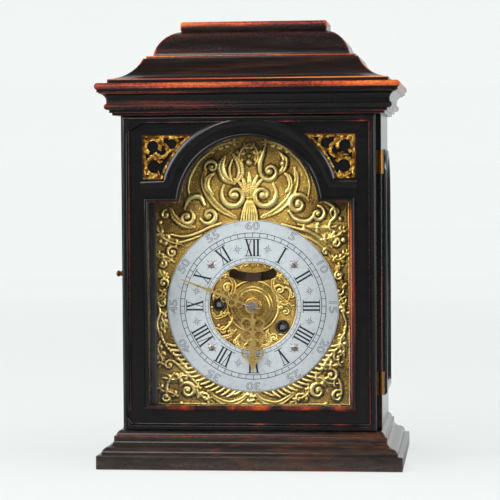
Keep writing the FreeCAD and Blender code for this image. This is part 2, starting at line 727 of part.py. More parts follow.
def door_sight_moulding():
    """The bead round the glass: it rises from the flat of the frame and falls to the glass."""
    width, height = at("sight_moulding_width"), at("moulding_height")
    face = at(DOOR_FACE)

    def ring(grow, out):
        return arch_wire(at("sight_half") + grow, at("sight_sill") - grow,
                         at("sight_shoulder") + grow, at("sight_radius") + grow, face - out)

    outer = Part.makeLoft([ring(width, 0), ring(width * 0.8, height * 0.9)], True)
    outer = outer.fuse(Part.makeLoft([ring(width * 0.8, height * 0.9),
                                      ring(width * 0.55, height)], True))
    hole = Part.makeLoft([ring(0, 0), ring(width * 0.1, height * 0.35)], True)
    hole = hole.fuse(Part.makeLoft([ring(width * 0.1, height * 0.35),
                                    ring(width * 0.54, height)], True))
    return outer.cut(hole).removeSplitter()


made("door_sight_moulding", door_sight_moulding())

right_cloth = plate("right_cloth", "XZ_Plane", [spandrel(1, "fret_gap")],
                    f"{DOOR_FACE} + spandrel_recess - cloth_thickness",
                    f"{DOOR_FACE} + spandrel_recess")
group("spandrel_cloth", [right_cloth, mirrored("left_cloth", right_cloth)])


FILED_FLAT = 24


def round_corners(radius, centre=(0, 0), start=0, end=360):
    """Points of an arc that is filed in short flats, in (x, z), angles in degrees."""
    flats = max(2, round((end - start) / FILED_FLAT))
    turns = [math.radians(start + (end - start) * part / flats) for part in range(flats + 1)]
    return [Vector(centre[0] + radius * math.cos(turn), centre[1] + radius * math.sin(turn), 0)
            for turn in turns]


def flat_band(centre, radius, width, start, end):
    """A scroll stroke: part of a flat ring, in (x, z), angles in degrees."""
    near = round_corners(radius - width / 2, centre, start, end)
    far = round_corners(radius + width / 2, centre, start, end)
    if end - start >= 360:
        disc, hole = (Part.Face(Part.makePolygon(points[:-1] + [points[0]]))
                      for points in (far, near))
        return disc.cut(hole)
    return Part.Face(Part.makePolygon(far + near[::-1] + [far[0]]))


def flat_blade(points):
    """A straight-sided leaf or bar in (x, z)."""
    corners = [Vector(point[0], point[1], 0) for point in points]
    return Part.Face(Part.makePolygon(corners + [corners[0]]))


def cut_from_sheet(strokes, thickness, within=None):
    """Strokes that are sawn from one sheet: they are joined, and the largest piece is kept."""
    up = Vector(0, 0, thickness)
    first, *others = (stroke.extrude(up) for stroke in strokes)
    whole = first.multiFuse(others)
    if within:
        whole = whole.common(within.extrude(up))
    return max(whole.removeSplitter().Solids, key=lambda solid: solid.Volume)


def stand_up(shape, front, thickness):
    """Sets a flat shape drawn in (x, z) upright, with its front face at the given depth."""
    shape.rotate(Vector(), Vector(1, 0, 0), 90)
    shape.translate(Vector(0, front + thickness, 0))
    return shape


def spandrel_fret():
    """A pierced brass corner: a border with scrolling stems that meet it."""
    thickness, gap, border = at("fret_thickness"), at("fret_gap"), at("fret_border")
    centre, head = at("arch_centre"), at("spandrel_head")
    outer = at("spandrel_half") - gap
    low, high = at("spandrel_sill") + gap, head - gap
    radius = at("spandrel_radius") + gap

    def corner_shape(inset):
        corners = [(30, low + inset), (outer - inset, low + inset), (outer - inset, high - inset),
                   (30, high - inset)]
        arch = Part.Face(Part.Wire(Part.makeCircle(radius + inset, Vector(0, centre, 0))))
        return flat_blade(corners).cut(arch)

    whole = corner_shape(0)
    rim = whole.cut(corner_shape(border))
    right, top = outer, high
    strokes = [
        flat_band((right - 10, low + 11.5), 8, 3.6, -120, 150),
        flat_band((right - 9.5, low + 11.5), 2.6, 2.6, 0, 360),
        flat_band((right - 9, top - 10), 7.2, 3.4, -60, 210),
        flat_band((right - 9, top - 10), 2.2, 2.4, 0, 360),
        flat_band((right - 27, top - 8), 6.5, 3.2, 60, 330),
        flat_band((right - 27.5, top - 8), 2, 2.2, 0, 360),
        flat_band((right - 17, low + 27), 6.4, 3, 100, 340),
        flat_blade([(right - 18, low), (right - 13, low), (right - 14, low + 8)]),
        flat_blade([(right - 20, top), (right - 14, top), (right - 16, top - 9),
                    (right - 19, top - 8)]),
        flat_blade([(right - 5, low + 22), (right - 15, low + 24), (right - 20, low + 19),
                    (right - 12, low + 20)]),
    ]
    fret = cut_from_sheet([rim, *strokes], thickness, whole)
    front = at(f"{DOOR_FACE} + spandrel_recess - cloth_thickness") - thickness
    return stand_up(fret, front, thickness)


right_fret = made("right_fret", spandrel_fret())
group("spandrel_frets", [right_fret, mirrored("left_fret", right_fret)])

# ---------------------------------------------------------------- mask and dial

MASK_SIGHT = arched("mask_half", "mask_sill", "sight_shoulder + 1", "mask_radius",
                    "arch_centre")
dial_mask = plate("dial_mask", "XZ_Plane",
                  [rectangle(f"0 - {INNER_X}", INNER_X, "base_thickness", "cornice_bottom"),
                   MASK_SIGHT], MASK_FRONT, DIAL_FRONT)
# A notch in the left edge leaves room for the catch's arm to swing.
sink(dial_mask, "XZ_Plane", [rectangle(
    f"0 - {INNER_X} - 1", f"0 - {INNER_X} + 8", "catch_height - catch_stem * 4",
    "catch_height + catch_arm + 3")], MASK_FRONT, DIAL_FRONT)


def clock_face(label, half, sill, radius, low, high, holes):
    return plate(label, "XZ_Plane", [
        arched(half, sill, "sight_shoulder + 1 + dial_lap", radius, "arch_centre"),
        *holes], low, high)


WINDING_HOLES = [("circle", "going_x", "dial_centre + going_z", "winder_radius + 2.4"),
                 ("circle", "strike_x", "dial_centre + strike_z", "winder_radius + 2.4")]
RING_SCREWS = [(f"{x} * ring_screw_circle * sqrt(0.5)",
                f"dial_centre + {z} * ring_screw_circle * sqrt(0.5)")
               for x in (-1, 1) for z in (-1, 1)]
SCREW_HOLES = [("circle", x, z, "screw_shank") for x, z in RING_SCREWS]


def smile_slot():
    """The curved slot for the mock pendulum, centred on the verge."""
    inner, outer = "(slot_radius - slot_half_width)", "(slot_radius + slot_half_width)"
    across, down = "sin(slot_half_angle)", "cos(slot_half_angle)"
    return [(f"0 - {outer} * {across}", f"{VERGE_Z} - {outer} * {down}"),
            ("arc", outer, -1), (f"{outer} * {across}", f"{VERGE_Z} - {outer} * {down}"),
            (f"{inner} * {across}", f"{VERGE_Z} - {inner} * {down}"),
            ("arc", inner, 1), (f"0 - {inner} * {across}", f"{VERGE_Z} - {inner} * {down}")]


dial_plate = clock_face("dial_plate", "mask_half + dial_lap", "mask_sill - dial_lap",
                        "mask_radius + dial_lap", DIAL_FRONT, DIAL_BACK,
                        [("circle", "0", "dial_centre", f"{HOUR_OUT} + 1"),
                         *WINDING_HOLES, *SCREW_HOLES, smile_slot()])

plate("chapter_ring", "XZ_Plane",
      [("circle", "0", "dial_centre", "ring_radius"),
       ("circle", "0", "dial_centre", "ring_bore"), *SCREW_HOLES],
      f"{DIAL_FRONT} - ring_thickness", DIAL_FRONT)
group("chapter_ring_screws", [
    turned(f"ring_screw_{number}",
           [("0", "0 - ring_thickness - screw_head"),
            ("screw_radius", "0 - ring_thickness - screw_head"),
            ("screw_radius", "0 - ring_thickness"), ("screw_shank", "0 - ring_thickness"),
            ("screw_shank", "dial_thickness"), ("0", "dial_thickness")],
           "back", (x, DIAL_FRONT, z))
    for number, (x, z) in enumerate(RING_SCREWS)])

# The turned boss at the dial's middle rises towards the hands in three steps.
BOSS_BORE = f"({HOUR_OUT} + 1)"
BOSS_STEP = "(boss_height / 3)"
turned("dial_boss", [
    (BOSS_BORE, "0"), ("boss_radius", "0"), ("boss_radius", f"0 - {BOSS_STEP}"),
    ("boss_radius - boss_tread", f"0 - {BOSS_STEP}"),
    ("boss_radius - boss_tread", f"0 - 2 * {BOSS_STEP}"),
    ("boss_radius - 2 * boss_tread", f"0 - 2 * {BOSS_STEP}"),
    ("boss_radius - 2 * boss_tread", "0 - boss_height"), (BOSS_BORE, "0 - boss_height")],
    "back", ("0", DIAL_FRONT, "dial_centre"))

group("dial_feet", [
    rod(f"dial_foot_{x}_{z}", "dial_foot_radius", DIAL_BACK, PLATE_FRONT,
        f"{x} * dial_foot_x", f"dial_centre + {z}")
    for x in (-1, 1) for z in ("dial_foot_low", "dial_foot_high")])

# ---------------------------------------------------------------- hands

HOUR_BACK = f"({DIAL_FRONT} - hour_lift)"
HOUR_FRONT = f"({HOUR_BACK} - hand_thickness)"
MINUTE_BACK = f"({HOUR_FRONT} - hand_space)"
MINUTE_FRONT = f"({MINUTE_BACK} - hand_thickness)"
HOUR_ANGLE = 180
MINUTE_ANGLE = 291


def set_hand(strokes, bore, back, angle):
    """A hand sawn from sheet, pointing to XII, then turned clockwise to its place."""
    thickness = at("hand_thickness")
    hand = cut_from_sheet(strokes, thickness).cut(Part.makeCylinder(bore, thickness))
    hand.rotate(Vector(), Vector(0, 0, 1), -angle)
    hand = stand_up(hand, back - thickness, thickness)
    hand.translate(Vector(0, 0, at("dial_centre")))
    return hand


def minute_hand():
    """A slender needle that grows out of pairs of pierced loops."""
    length = at("minute_length")
    neck, tail = 0.58 * length, 0.07 * length
    strokes = [flat_band((0, 0), at(CANNON_OUT) + 1, 3.4, 0, 360),
               flat_blade([(-1.1, tail), (1.1, tail), (1.3, neck), (0.35, length),
                           (-0.35, length), (-1.3, neck)])]
    for height, radius in ((0.17 * length, 3), (0.27 * length, 3.4), (0.38 * length, 2.8),
                           (0.48 * length, 2.2)):
        for side in (-1, 1):
            strokes.append(flat_band((side * (radius - 0.2), height), radius, 1.2, 0, 360))
    strokes.append(flat_blade([(0, neck - 4), (2.6, neck - 0.5), (0, neck + 5),
                               (-2.6, neck - 0.5)]))
    return set_hand(strokes, at(CANNON_OUT), at(MINUTE_BACK), MINUTE_ANGLE)


def hour_hand():
    """A broad hand: four pierced leaves, a knot, two curls and a lance point."""
    length = at("hour_length")
    knot, lance = 0.57 * length, 0.64 * length
    strokes = [flat_band((0, 0), at(HOUR_OUT) + 1.2, 3.8, 0, 360),
               flat_blade([(-1.5, 4), (1.5, 4), (1, lance), (-1, lance)]),
               flat_band((0, knot), 1.6, 3, 0, 360),
               flat_blade([(0, length), (0.072 * length, 0.82 * length), (1.3, lance),
                           (-1.3, lance), (-0.072 * length, 0.82 * length)])]
    for side in (-1, 1):
        for height in (0.26 * length, 0.44 * length):
            strokes.append(flat_band((side * 6, height), 5, 2, 0, 360))
            strokes.append(flat_blade([(side * 10, height - 2.5), (side * 13.5, height + 0.5),
                                       (side * 10, height + 2.5)]))
        start = 200 if side < 0 else 70
        strokes.append(flat_band((side * 5.8, 0.71 * length), 4.4, 1.8, start - 130,
                                 start + 140))
        strokes.append(flat_blade([(0, knot + 2), (side * 6, 0.71 * length - 5.4),
                                   (side * 6, 0.71 * length - 3.6), (0, knot + 4)]))
    return set_hand(strokes, at(HOUR_OUT), at(HOUR_BACK), HOUR_ANGLE)


made("minute_hand", minute_hand())
made("hour_hand", hour_hand())

# The domed collet with its taper pin holds the hands on.
collet = turned("hand_dome", [
    ("0", "0 - pin_length"), (f"{CANNON_OUT} - pin_step", "0 - pin_length"),
    (f"{CANNON_OUT} - pin_step", "0 - collet_height"),
    (f"{CANNON_OUT} + collet_flange", "0 - collet_height"),
    (f"{CANNON_OUT} + collet_flange", "0"),
    (CANNON_OUT, "0"), (CANNON_OUT, "0 - 0.4"), ("0", "0 - 0.4")],
    "back", ("0", MINUTE_FRONT, "dial_centre"))
taper_pin = made("taper_pin", Part.makeCylinder(
    at("taper_pin_radius"), at("pin_length * 2.6"),
    Vector(at("pin_length * 1.2"), at(f"{MINUTE_FRONT} - pin_length * 0.7"),
           at("dial_centre - pin_length * 0.35")), Vector(-1, 0, 0.3)))
joined("hand_collet", [collet, taper_pin])

# ---------------------------------------------------------------- toothed wheels

ADDENDUM, DEDENDUM = 0.72, 1.25
TIP_SHARE, ROOT_SHARE = 0.17, 0.46


CROSSING_SWEEP = 72


def crossings(rim, hub, thickness):
    """The four openings between a wheel's arms, sawn and filed to short flats."""
    sweep = math.radians(CROSSING_SWEEP)
    openings = []
    for arm in range(4):
        first = math.radians(arm * 90) + (math.pi / 2 - sweep) / 2
        corners = [Vector(rim * math.cos(first + sweep * part / 4),
                          rim * math.sin(first + sweep * part / 4), 0) for part in range(5)]
        corners += [Vector(hub * math.cos(first + sweep * part),
                           hub * math.sin(first + sweep * part), 0) for part in (1, 0)]
        opening = Part.Face(Part.makePolygon(corners + [corners[0]]))
        openings.append(opening.extrude(Vector(0, 0, thickness)))
    return Part.Compound(openings)


def toothed(teeth, module, thickness, centre, front, first, bore=0, arms=False):
    """A wheel or pinion whose first tooth points at the angle first, seen from the front."""
    pitch = teeth * module / 2
    tip, root = pitch + ADDENDUM * module, pitch - DEDENDUM * module
    step = 2 * math.pi / teeth
    corners = []
    for tooth in range(teeth):
        middle = math.radians(first) + tooth * step
        for radius, share in ((root, -ROOT_SHARE), (tip, -TIP_SHARE), (tip, TIP_SHARE),
                              (root, ROOT_SHARE)):
            turn = middle + share * step / 2
            corners.append(Vector(radius * math.cos(turn), radius * math.sin(turn), 0))
    disc = Part.Face(Part.makePolygon(corners + [corners[0]])).extrude(Vector(0, 0, thickness))
    if bore:
        disc = disc.cut(Part.makeCylinder(bore, thickness))
    if arms:
        disc = disc.cut(crossings(root - 1.8, at("arbor_radius") * 2.2, thickness))
    disc = stand_up(disc, front, thickness)
    disc.translate(Vector(centre[0], 0, centre[1]))
    return disc


def meshed(first_centre, second_centre, second_teeth):
    """Angles of the first teeth, so that a tooth of one faces a space of the other."""
    towards = math.degrees(math.atan2(second_centre[1] - first_centre[1],
                                      second_centre[0] - first_centre[0]))
    return towards, towards + 180 + 180 / second_teeth


def arbor(name, centre, stages):
    """A turned arbor along Y: stages of (radius, y_low, y_high), end to end."""
    profile = [("0", stages[0][1])]
    for radius, low, high in stages:
        profile += [(radius, low), (radius, high)]
    profile.append(("0", stages[-1][2]))
    return turned(name, profile, "back", (centre[0], "0", centre[1]))


CENTRE = ("0", "dial_centre")
GOING = ("going_x", "(dial_centre + going_z)")
STRIKE = ("strike_x", "(dial_centre + strike_z)")
THIRD_RISE = "((centre_teeth + pinion_leaves) * centre_module / 2)"
CONTRATE = ("0", f"(dial_centre + {THIRD_RISE})")
MOTION_DROP = "(motion_teeth * motion_module)"
MOTION = ("0", f"(dial_centre - {MOTION_DROP})")
PIN_REACH = "((strike_teeth + pinion_leaves) * strike_module / 2)"
PIN = (f"(strike_x + {PIN_REACH} * cos(strike_angle))",
       f"(dial_centre + strike_z + {PIN_REACH} * sin(strike_angle))")
FLY_REACH = "((pin_teeth + fly_leaves) * fly_module / 2)"
FLY = (f"({PIN[0]} + {FLY_REACH} * cos(fly_angle))",
       f"({PIN[1]} + {FLY_REACH} * sin(fly_angle))")
HAMMER = ("hammer_x", "(dial_centre + hammer_z)")
GREAT_FRONT = f"({PLATE_INNER} + 3.5)"
GREAT_BACK = f"({GREAT_FRONT} + wheel_thickness)"
DRUM_BACK = f"({GREAT_BACK} + barrel_length)"
CENTRE_WHEEL = f"({BACK_INNER} - 5.5)"
PIN_WHEEL = f"({BACK_INNER} - 7)"


def spot(place):
    return at(place[0]), at(place[1])


# ---------------------------------------------------------------- movement frame

MOTION_PLANE = f"({PLATE_FRONT} - 4)"
HOUR_PLANE = f"({MOTION_PLANE} - 4.5)"
STAFF_HOLE = "pivot_radius + 1"
PLATE_OUTLINE = rectangle("0 - plate_half", "plate_half", "plate_sill", "plate_head")
PIVOTS = [("circle", *place, "pivot_radius + running_gap")
          for place in (CONTRATE, PIN, FLY, HAMMER)]
WINDERS = [("circle", *place, "winder_radius + running_gap") for place in (GOING, STRIKE)]

front_plate = plate("front_plate", "XZ_Plane", [
    PLATE_OUTLINE, ("circle", *CENTRE, CANNON_BORE), ("circle", "0", VERGE_Z, STAFF_HOLE),
    *PIVOTS, *WINDERS], PLATE_FRONT, PLATE_INNER)
stud = front_plate.newObject("PartDesign::Pad", "minute_stud")
stud.Profile = draw(front_plate, "XZ_Plane", [("circle", *MOTION, "stud_radius")],
                    f"0 - ({PLATE_FRONT})")
bind(stud, "Length", f"{PLATE_FRONT} - {HOUR_PLANE} + 2.4")
doc.recompute()

plate("back_plate", "XZ_Plane", [
    PLATE_OUTLINE, ("circle", *CENTRE, "pivot_radius + running_gap"),
    ("circle", "0", VERGE_Z, STAFF_HOLE), *PIVOTS, *WINDERS], BACK_INNER, BACK_OUTER)

group("movement_pillars", [
    turned(f"pillar_{x}_{number}", [
        ("0", "0"), ("pillar_radius + pillar_collar", "0"),
        ("pillar_radius + pillar_collar", "pillar_collar * 2"),
        ("pillar_radius", "pillar_collar * 2"), ("pillar_radius", "pillar_length"),
        ("0", "pillar_length")],
        "back", (f"{x} * (plate_half - pillar_margin)", PLATE_INNER, height))
    for x in (-1, 1)
    for number, height in enumerate(("plate_sill + pillar_margin",
                                     "plate_head - pillar_margin"))])

block("seat_board", f"0 - {INNER_X} + fret_gap", f"{INNER_X} - fret_gap",
      f"{DIAL_BACK} + 2", "seat_back", "plate_sill - seat_thickness", "plate_sill")
right_cleat = block("right_cleat", f"{INNER_X} - cleat_size", INNER_X, f"{DIAL_BACK} + 2",
                    "seat_back", "plate_sill - seat_thickness - cleat_size",
                    "plate_sill - seat_thickness")
group("seat_cleats", [right_cleat, mirrored("left_cleat", right_cleat)])

# ---------------------------------------------------------------- motion work

motion_first, motion_second = meshed(spot(CENTRE), spot(MOTION), at("motion_teeth"))
wheel_thickness = at("wheel_thickness")
cannon_pipe = less("cannon_pipe",
                   rod("cannon_tube", CANNON_OUT, MINUTE_FRONT, MOTION_PLANE, *CENTRE),
                   rod("cannon_drill", CANNON_BORE, f"{MINUTE_FRONT} - 1",
                       f"{MOTION_PLANE} + 1", *CENTRE))
cannon_disc = made("cannon_disc", toothed(
    int(at("motion_teeth")), at("motion_module"), wheel_thickness, spot(CENTRE),
    at(MOTION_PLANE), motion_first, at(CANNON_BORE)))
joined("cannon_wheel", [cannon_pipe, cannon_disc])

hour_module = at(f"{MOTION_DROP} * 2 / (hour_teeth + minute_leaves)")
hour_first, leaf_first = meshed(spot(CENTRE), spot(MOTION), at("minute_leaves"))
minute_disc = made("minute_disc", toothed(
    int(at("motion_teeth")), at("motion_module"), wheel_thickness, spot(MOTION),
    at(MOTION_PLANE), motion_second, at("stud_radius + running_gap")))
minute_pinion = made("minute_pinion", toothed(
    int(at("minute_leaves")), hour_module, at(f"{MOTION_PLANE} - {HOUR_PLANE} + 0.6"),
    spot(MOTION), at(HOUR_PLANE) - 0.6, leaf_first, at("stud_radius + running_gap")))
joined("minute_wheel", [minute_disc, minute_pinion])

hour_pipe = less("hour_pipe", rod("hour_tube", HOUR_OUT, HOUR_FRONT, HOUR_PLANE, *CENTRE),
                 rod("hour_drill", HOUR_BORE, f"{HOUR_FRONT} - 1", f"{HOUR_PLANE} + 1", *CENTRE))
hour_disc = made("hour_disc", toothed(
    int(at("hour_teeth")), hour_module, wheel_thickness, spot(CENTRE), at(HOUR_PLANE),
    hour_first, at(HOUR_BORE)))
joined("hour_wheel", [hour_pipe, hour_disc])

# ---------------------------------------------------------------- going train

going_first, centre_leaf = meshed(spot(GOING), spot(CENTRE), at("pinion_leaves"))
centre_first, third_leaf = meshed(spot(CENTRE), spot(CONTRATE), at("pinion_leaves"))
strike_first, pin_leaf = meshed(spot(STRIKE), spot(PIN), at("pinion_leaves"))
pin_first, fly_leaf = meshed(spot(PIN), spot(FLY), at("fly_leaves"))


def barrel(label, place, radius, teeth, module, first):
    """A spring barrel: a drum filled by its coiled spring, with its great wheel in front."""
    bore = "(winder_radius + running_gap)"
    drum = turned(label + "_drum", [
        (bore, "0"), (radius, "0"), (radius, "barrel_length"), (bore, "barrel_length")],
        "back", (place[0], GREAT_BACK, place[1]))
    wheel = made(label + "_great_wheel", toothed(
        int(at(teeth)), at(module), wheel_thickness, spot(place), at(GREAT_FRONT), first,
        at(bore)))
    return joined(label, [drum, wheel])


barrel("going_barrel", GOING, "going_barrel_radius", "going_teeth", "going_module",
       going_first)
barrel("strike_barrel", STRIKE, "strike_barrel_radius", "strike_teeth", "strike_module",
       strike_first)


def winder(label, place):
    """The barrel's arbor, which comes through the dial as a square for the key."""
    shaft = arbor(label + "_shaft", place, [
        ("winder_radius", f"{PLATE_FRONT} - 4", f"{BACK_OUTER} + 2")])
    half = "(winder_square / 2)"
    square = block(label + "_square", f"{place[0]} - {half}", f"{place[0]} + {half}",
                   f"{DIAL_FRONT} - ring_thickness", f"{PLATE_FRONT} - 4",
                   f"{place[1]} - {half}", f"{place[1]} + {half}")
    return joined(label, [shaft, square])


winder("going_winder", GOING)
winder("strike_winder", STRIKE)


def train_pinion(name, place, module, leaves, first, wheel_plane):
    """A pinion a little longer than the wheel that drives it is thick."""
    return made(name, toothed(int(at(leaves)), at(module), wheel_thickness + 1.2, spot(place),
                              at(wheel_plane) - 0.6, first))


SHOULDER_FRONT = f"({PLATE_INNER} + end_shake)"
SHOULDER_BACK = f"({BACK_INNER} - end_shake)"


def pivoted(name, place):
    """An arbor that runs in both plates."""
    return arbor(name, place, [("pivot_radius", PLATE_FRONT, SHOULDER_FRONT),
                               ("arbor_radius", SHOULDER_FRONT, SHOULDER_BACK),
                               ("pivot_radius", SHOULDER_BACK, BACK_OUTER)])


centre_shaft = arbor("centre_shaft", CENTRE, [
    ("centre_radius", MINUTE_FRONT, SHOULDER_FRONT),
    ("arbor_radius", SHOULDER_FRONT, SHOULDER_BACK),
    ("pivot_radius", SHOULDER_BACK, BACK_OUTER)])
centre_pinion = train_pinion("centre_pinion", CENTRE, "going_module", "pinion_leaves",
                             centre_leaf, GREAT_FRONT)
centre_disc = made("centre_disc", toothed(
    int(at("centre_teeth")), at("centre_module"), wheel_thickness, spot(CENTRE),
    at(CENTRE_WHEEL), centre_first, 0, True))
joined("centre_arbor", [centre_shaft, centre_pinion, centre_disc])

CONTRATE_FRONT = "(0 - 1)"
TOOTH_TOP = f"({CONTRATE_FRONT} + contrate_depth)"
CROWN_Y = f"({TOOTH_TOP} + 2.2)"
CONTRATE_TEETH = 36
CROWN_LEAVES = 6


def flat_drum(radius, depth, sides):
    """An upright drum with one flat for each tooth that is cut in it."""
    corners = [Vector(radius * math.cos(2 * math.pi * side / sides),
                      radius * math.sin(2 * math.pi * side / sides), 0)
               for side in range(sides)]
    return Part.Face(Part.makePolygon(corners + [corners[0]])).extrude(Vector(0, 0, depth))


def contrate_rim():
    """The contrate wheel: a crossed disc with a rim whose teeth point to the back."""
    radius, depth = at("contrate_radius"), at("contrate_depth")
    wall = 1.6
    web = wheel_thickness
    disc = flat_drum(radius, web, CONTRATE_TEETH)
    disc = disc.cut(crossings(radius - 3, at("arbor_radius") * 2, web))
    rim = flat_drum(radius, depth, CONTRATE_TEETH).cut(
        flat_drum(radius - wall, depth, CONTRATE_TEETH))
    gaps = []
    for tooth in range(CONTRATE_TEETH // 2):
        gap = Part.makeBox(2 * radius + 2, 1.5, depth - web - 0.6,
                           Vector(-radius - 1, -0.75, web + 0.6))
        gap.rotate(Vector(), Vector(0, 0, 1), tooth * 360 / CONTRATE_TEETH + 5)
        gaps.append(gap)
    rim = rim.cut(Part.Compound(gaps))
    wheel = disc.fuse(rim).removeSplitter()
    wheel.rotate(Vector(), Vector(1, 0, 0), -90)
    wheel.translate(Vector(at(CONTRATE[0]), at(CONTRATE_FRONT), at(CONTRATE[1])))
    return wheel


third_pinion = train_pinion("third_pinion", CONTRATE, "centre_module", "pinion_leaves",
                            third_leaf, CENTRE_WHEEL)
joined("contrate_wheel", [pivoted("contrate_shaft", CONTRATE), third_pinion,
                          made("contrate_disc", contrate_rim())])

CROWN_LOW = f"({CONTRATE[1]} + 6)"
CROWN_TOP = f"({VERGE_Z} - pivot_radius - 3.3)"


def crown_wheel():
    """The escape wheel on its upright arbor: a pinion below, sloping teeth on top."""
    low, top = at(CROWN_LOW), at(CROWN_TOP)
    radius, teeth = at("crown_radius"), int(at("crown_teeth"))
    contrate_z = at(CONTRATE[1])
    shaft = Part.makeCylinder(at("pivot_radius"), top - 9 - low, Vector(0, 0, low))
    pinion_low = contrate_z + at("contrate_radius") - 3
    leaves = toothed(CROWN_LEAVES, 0.5, 5, (0, 0), 0, 0)
    leaves.rotate(Vector(), Vector(1, 0, 0), -90)
    leaves.translate(Vector(0, 0, pinion_low + 5))
    web = flat_drum(radius, 1.5, 2 * teeth)
    rim = flat_drum(radius, 9, 2 * teeth).cut(flat_drum(radius - 1.3, 9, 2 * teeth))
    for part in (web, rim):
        part.translate(Vector(0, 0, top - 9))
    gaps = []
    for tooth in range(teeth):
        wedge = Part.Face(Part.makePolygon([
            Vector(radius - 3, -1.9, top - 3.6), Vector(radius - 3, 1.6, top + 0.1),
            Vector(radius - 3, -1.9, top + 0.1), Vector(radius - 3, -1.9, top - 3.6)]))
        gap = wedge.extrude(Vector(5, 0, 0))
        gap.rotate(Vector(), Vector(0, 0, 1), tooth * 360 / teeth)
        gaps.append(gap)
    rim = rim.cut(Part.Compound(gaps))
    wheel = shaft.fuse([leaves, web, rim]).removeSplitter()
    wheel.translate(Vector(0, at(CROWN_Y), 0))
    return wheel


made("crown_wheel", crown_wheel())

# The potence is a bracket on the back plate that carries the crown wheel's arbor.
foot_arm = block("potence_foot", "0 - 4", "4", f"{CROWN_Y} - 4", BACK_INNER,
                 f"{CROWN_LOW} - 2", f"{CROWN_LOW} + 1.5")
head_arm = block("potence_head", "0 - 4", "4", f"{CROWN_Y} - 4", BACK_INNER,
                 f"{CROWN_TOP} - 14", f"{CROWN_TOP} - 11")
crown_bore = doc.addObject("Part::Cylinder", "potence_bore")
bind(crown_bore, "Radius", "pivot_radius + running_gap")
bind(crown_bore, "Height", f"{CROWN_TOP} - {CROWN_LOW}")
bind(crown_bore, "Placement.Base.y", CROWN_Y)
bind(crown_bore, "Placement.Base.z", CROWN_LOW)
spine = block("potence_spine", "0 - 4", "4", f"{BACK_INNER} - 3", BACK_INNER,
              f"{CROWN_LOW} - 2", f"{CROWN_TOP} - 11")
less("potence", joined("potence_blank", [foot_arm, head_arm, spine]), crown_bore)

# ---------------------------------------------------------------- verge and pendulum

MOCK_FRONT = f"({DIAL_BACK} + 1.4)"
PENDULUM_Y = f"({BACK_OUTER} + 8)"
COCK_BACK = f"({PENDULUM_Y} + 8)"
staff = arbor("verge_staff", ("0", VERGE_Z), [("pivot_radius", MOCK_FRONT, COCK_BACK)])
mock_arm = block("mock_arm", "0 - 1", "1", MOCK_FRONT, f"{MOCK_FRONT} + 1",
                 f"{VERGE_Z} - mock_bob_drop", VERGE_Z)
mock_bob = rod("mock_bob", "mock_bob_radius", MOCK_FRONT, f"{MOCK_FRONT} + 1.4", "0",
               f"{VERGE_Z} - mock_bob_drop")
pallets = [block(f"pallet_{side}", "0 - 0.4", "0.4", f"{CROWN_Y} + {side} * crown_radius - 1.5",
                 f"{CROWN_Y} + {side} * crown_radius + 1.5", f"{VERGE_Z} - 4", VERGE_Z)
           for side in (-1, 1)]
rod_hub = rod("pendulum_hub", "pivot_radius * 3", f"{PENDULUM_Y} - 1.5", f"{PENDULUM_Y} + 1.5",
              "0", VERGE_Z)
rod_stem = block("pendulum_stem", "0 - 1.1", "1.1", f"{PENDULUM_Y} - 1.1",
                 f"{PENDULUM_Y} + 1.1", f"{VERGE_Z} - pendulum_length + bob_radius", VERGE_Z)
joined("verge_staff_and_rod", [staff, mock_arm, mock_bob, *pallets, rod_hub, rod_stem])
turned("pendulum_bob", [
    ("0", "0 - bob_thickness / 2"), ("bob_radius - bob_step", "0 - bob_thickness / 2"),
    ("bob_radius - bob_step", "0 - bob_edge / 2"), ("bob_radius", "0 - bob_edge / 2"),
    ("bob_radius", "bob_edge / 2"), ("bob_radius - bob_step", "bob_edge / 2"),
    ("bob_radius - bob_step", "bob_thickness / 2"), ("0", "bob_thickness / 2")],
    "back", ("0", PENDULUM_Y, f"{VERGE_Z} - pendulum_length"))

cock_bore = rod("cock_bore", "pivot_radius + running_gap", f"{PLATE_FRONT} - 4",
                f"{COCK_BACK} + 1", "0", VERGE_Z)
front_cock = block("front_cock", "0 - 6", "6", f"{PLATE_FRONT} - 3", PLATE_FRONT,
                   f"{VERGE_Z} - 5", f"{VERGE_Z} + 8")
cock_plate = block("cock_plate", "0 - 6", "6", f"{COCK_BACK} - 3", COCK_BACK,
                   f"{VERGE_Z} - 5", f"{VERGE_Z} + 8")
cock_leg = block("cock_leg", "0 - 6", "6", BACK_OUTER, COCK_BACK, f"{VERGE_Z} + 5",
                 f"{VERGE_Z} + 8")
group("verge_cocks", [less("front_cock_bored", front_cock, cock_bore),
                      less("back_cock_bored", joined("back_cock", [cock_plate, cock_leg]),
                           cock_bore)])

# ---------------------------------------------------------------- striking train

pin_disc = made("pin_disc", toothed(
    int(at("pin_teeth")), at("fly_module"), wheel_thickness, spot(PIN), at(PIN_WHEEL),
    pin_first, 0, True))
pin_pinion = train_pinion("pin_pinion", PIN, "strike_module", "pinion_leaves", pin_leaf,
                          GREAT_FRONT)
PIN_COUNT = 8
PIN_CIRCLE = "(pin_teeth * fly_module / 2 - 2)"
lifting_pins = [rod(f"lifting_pin_{number}", "0.7", f"{PIN_WHEEL} + wheel_thickness",
                    f"{PIN_WHEEL} + wheel_thickness + 3",
                    f"{PIN[0]} + {PIN_CIRCLE} * cos({number * 360 / PIN_COUNT})",
                    f"{PIN[1]} + {PIN_CIRCLE} * sin({number * 360 / PIN_COUNT})")
                for number in range(PIN_COUNT)]
joined("pin_wheel", [pivoted("pin_shaft", PIN), pin_disc, pin_pinion, *lifting_pins])

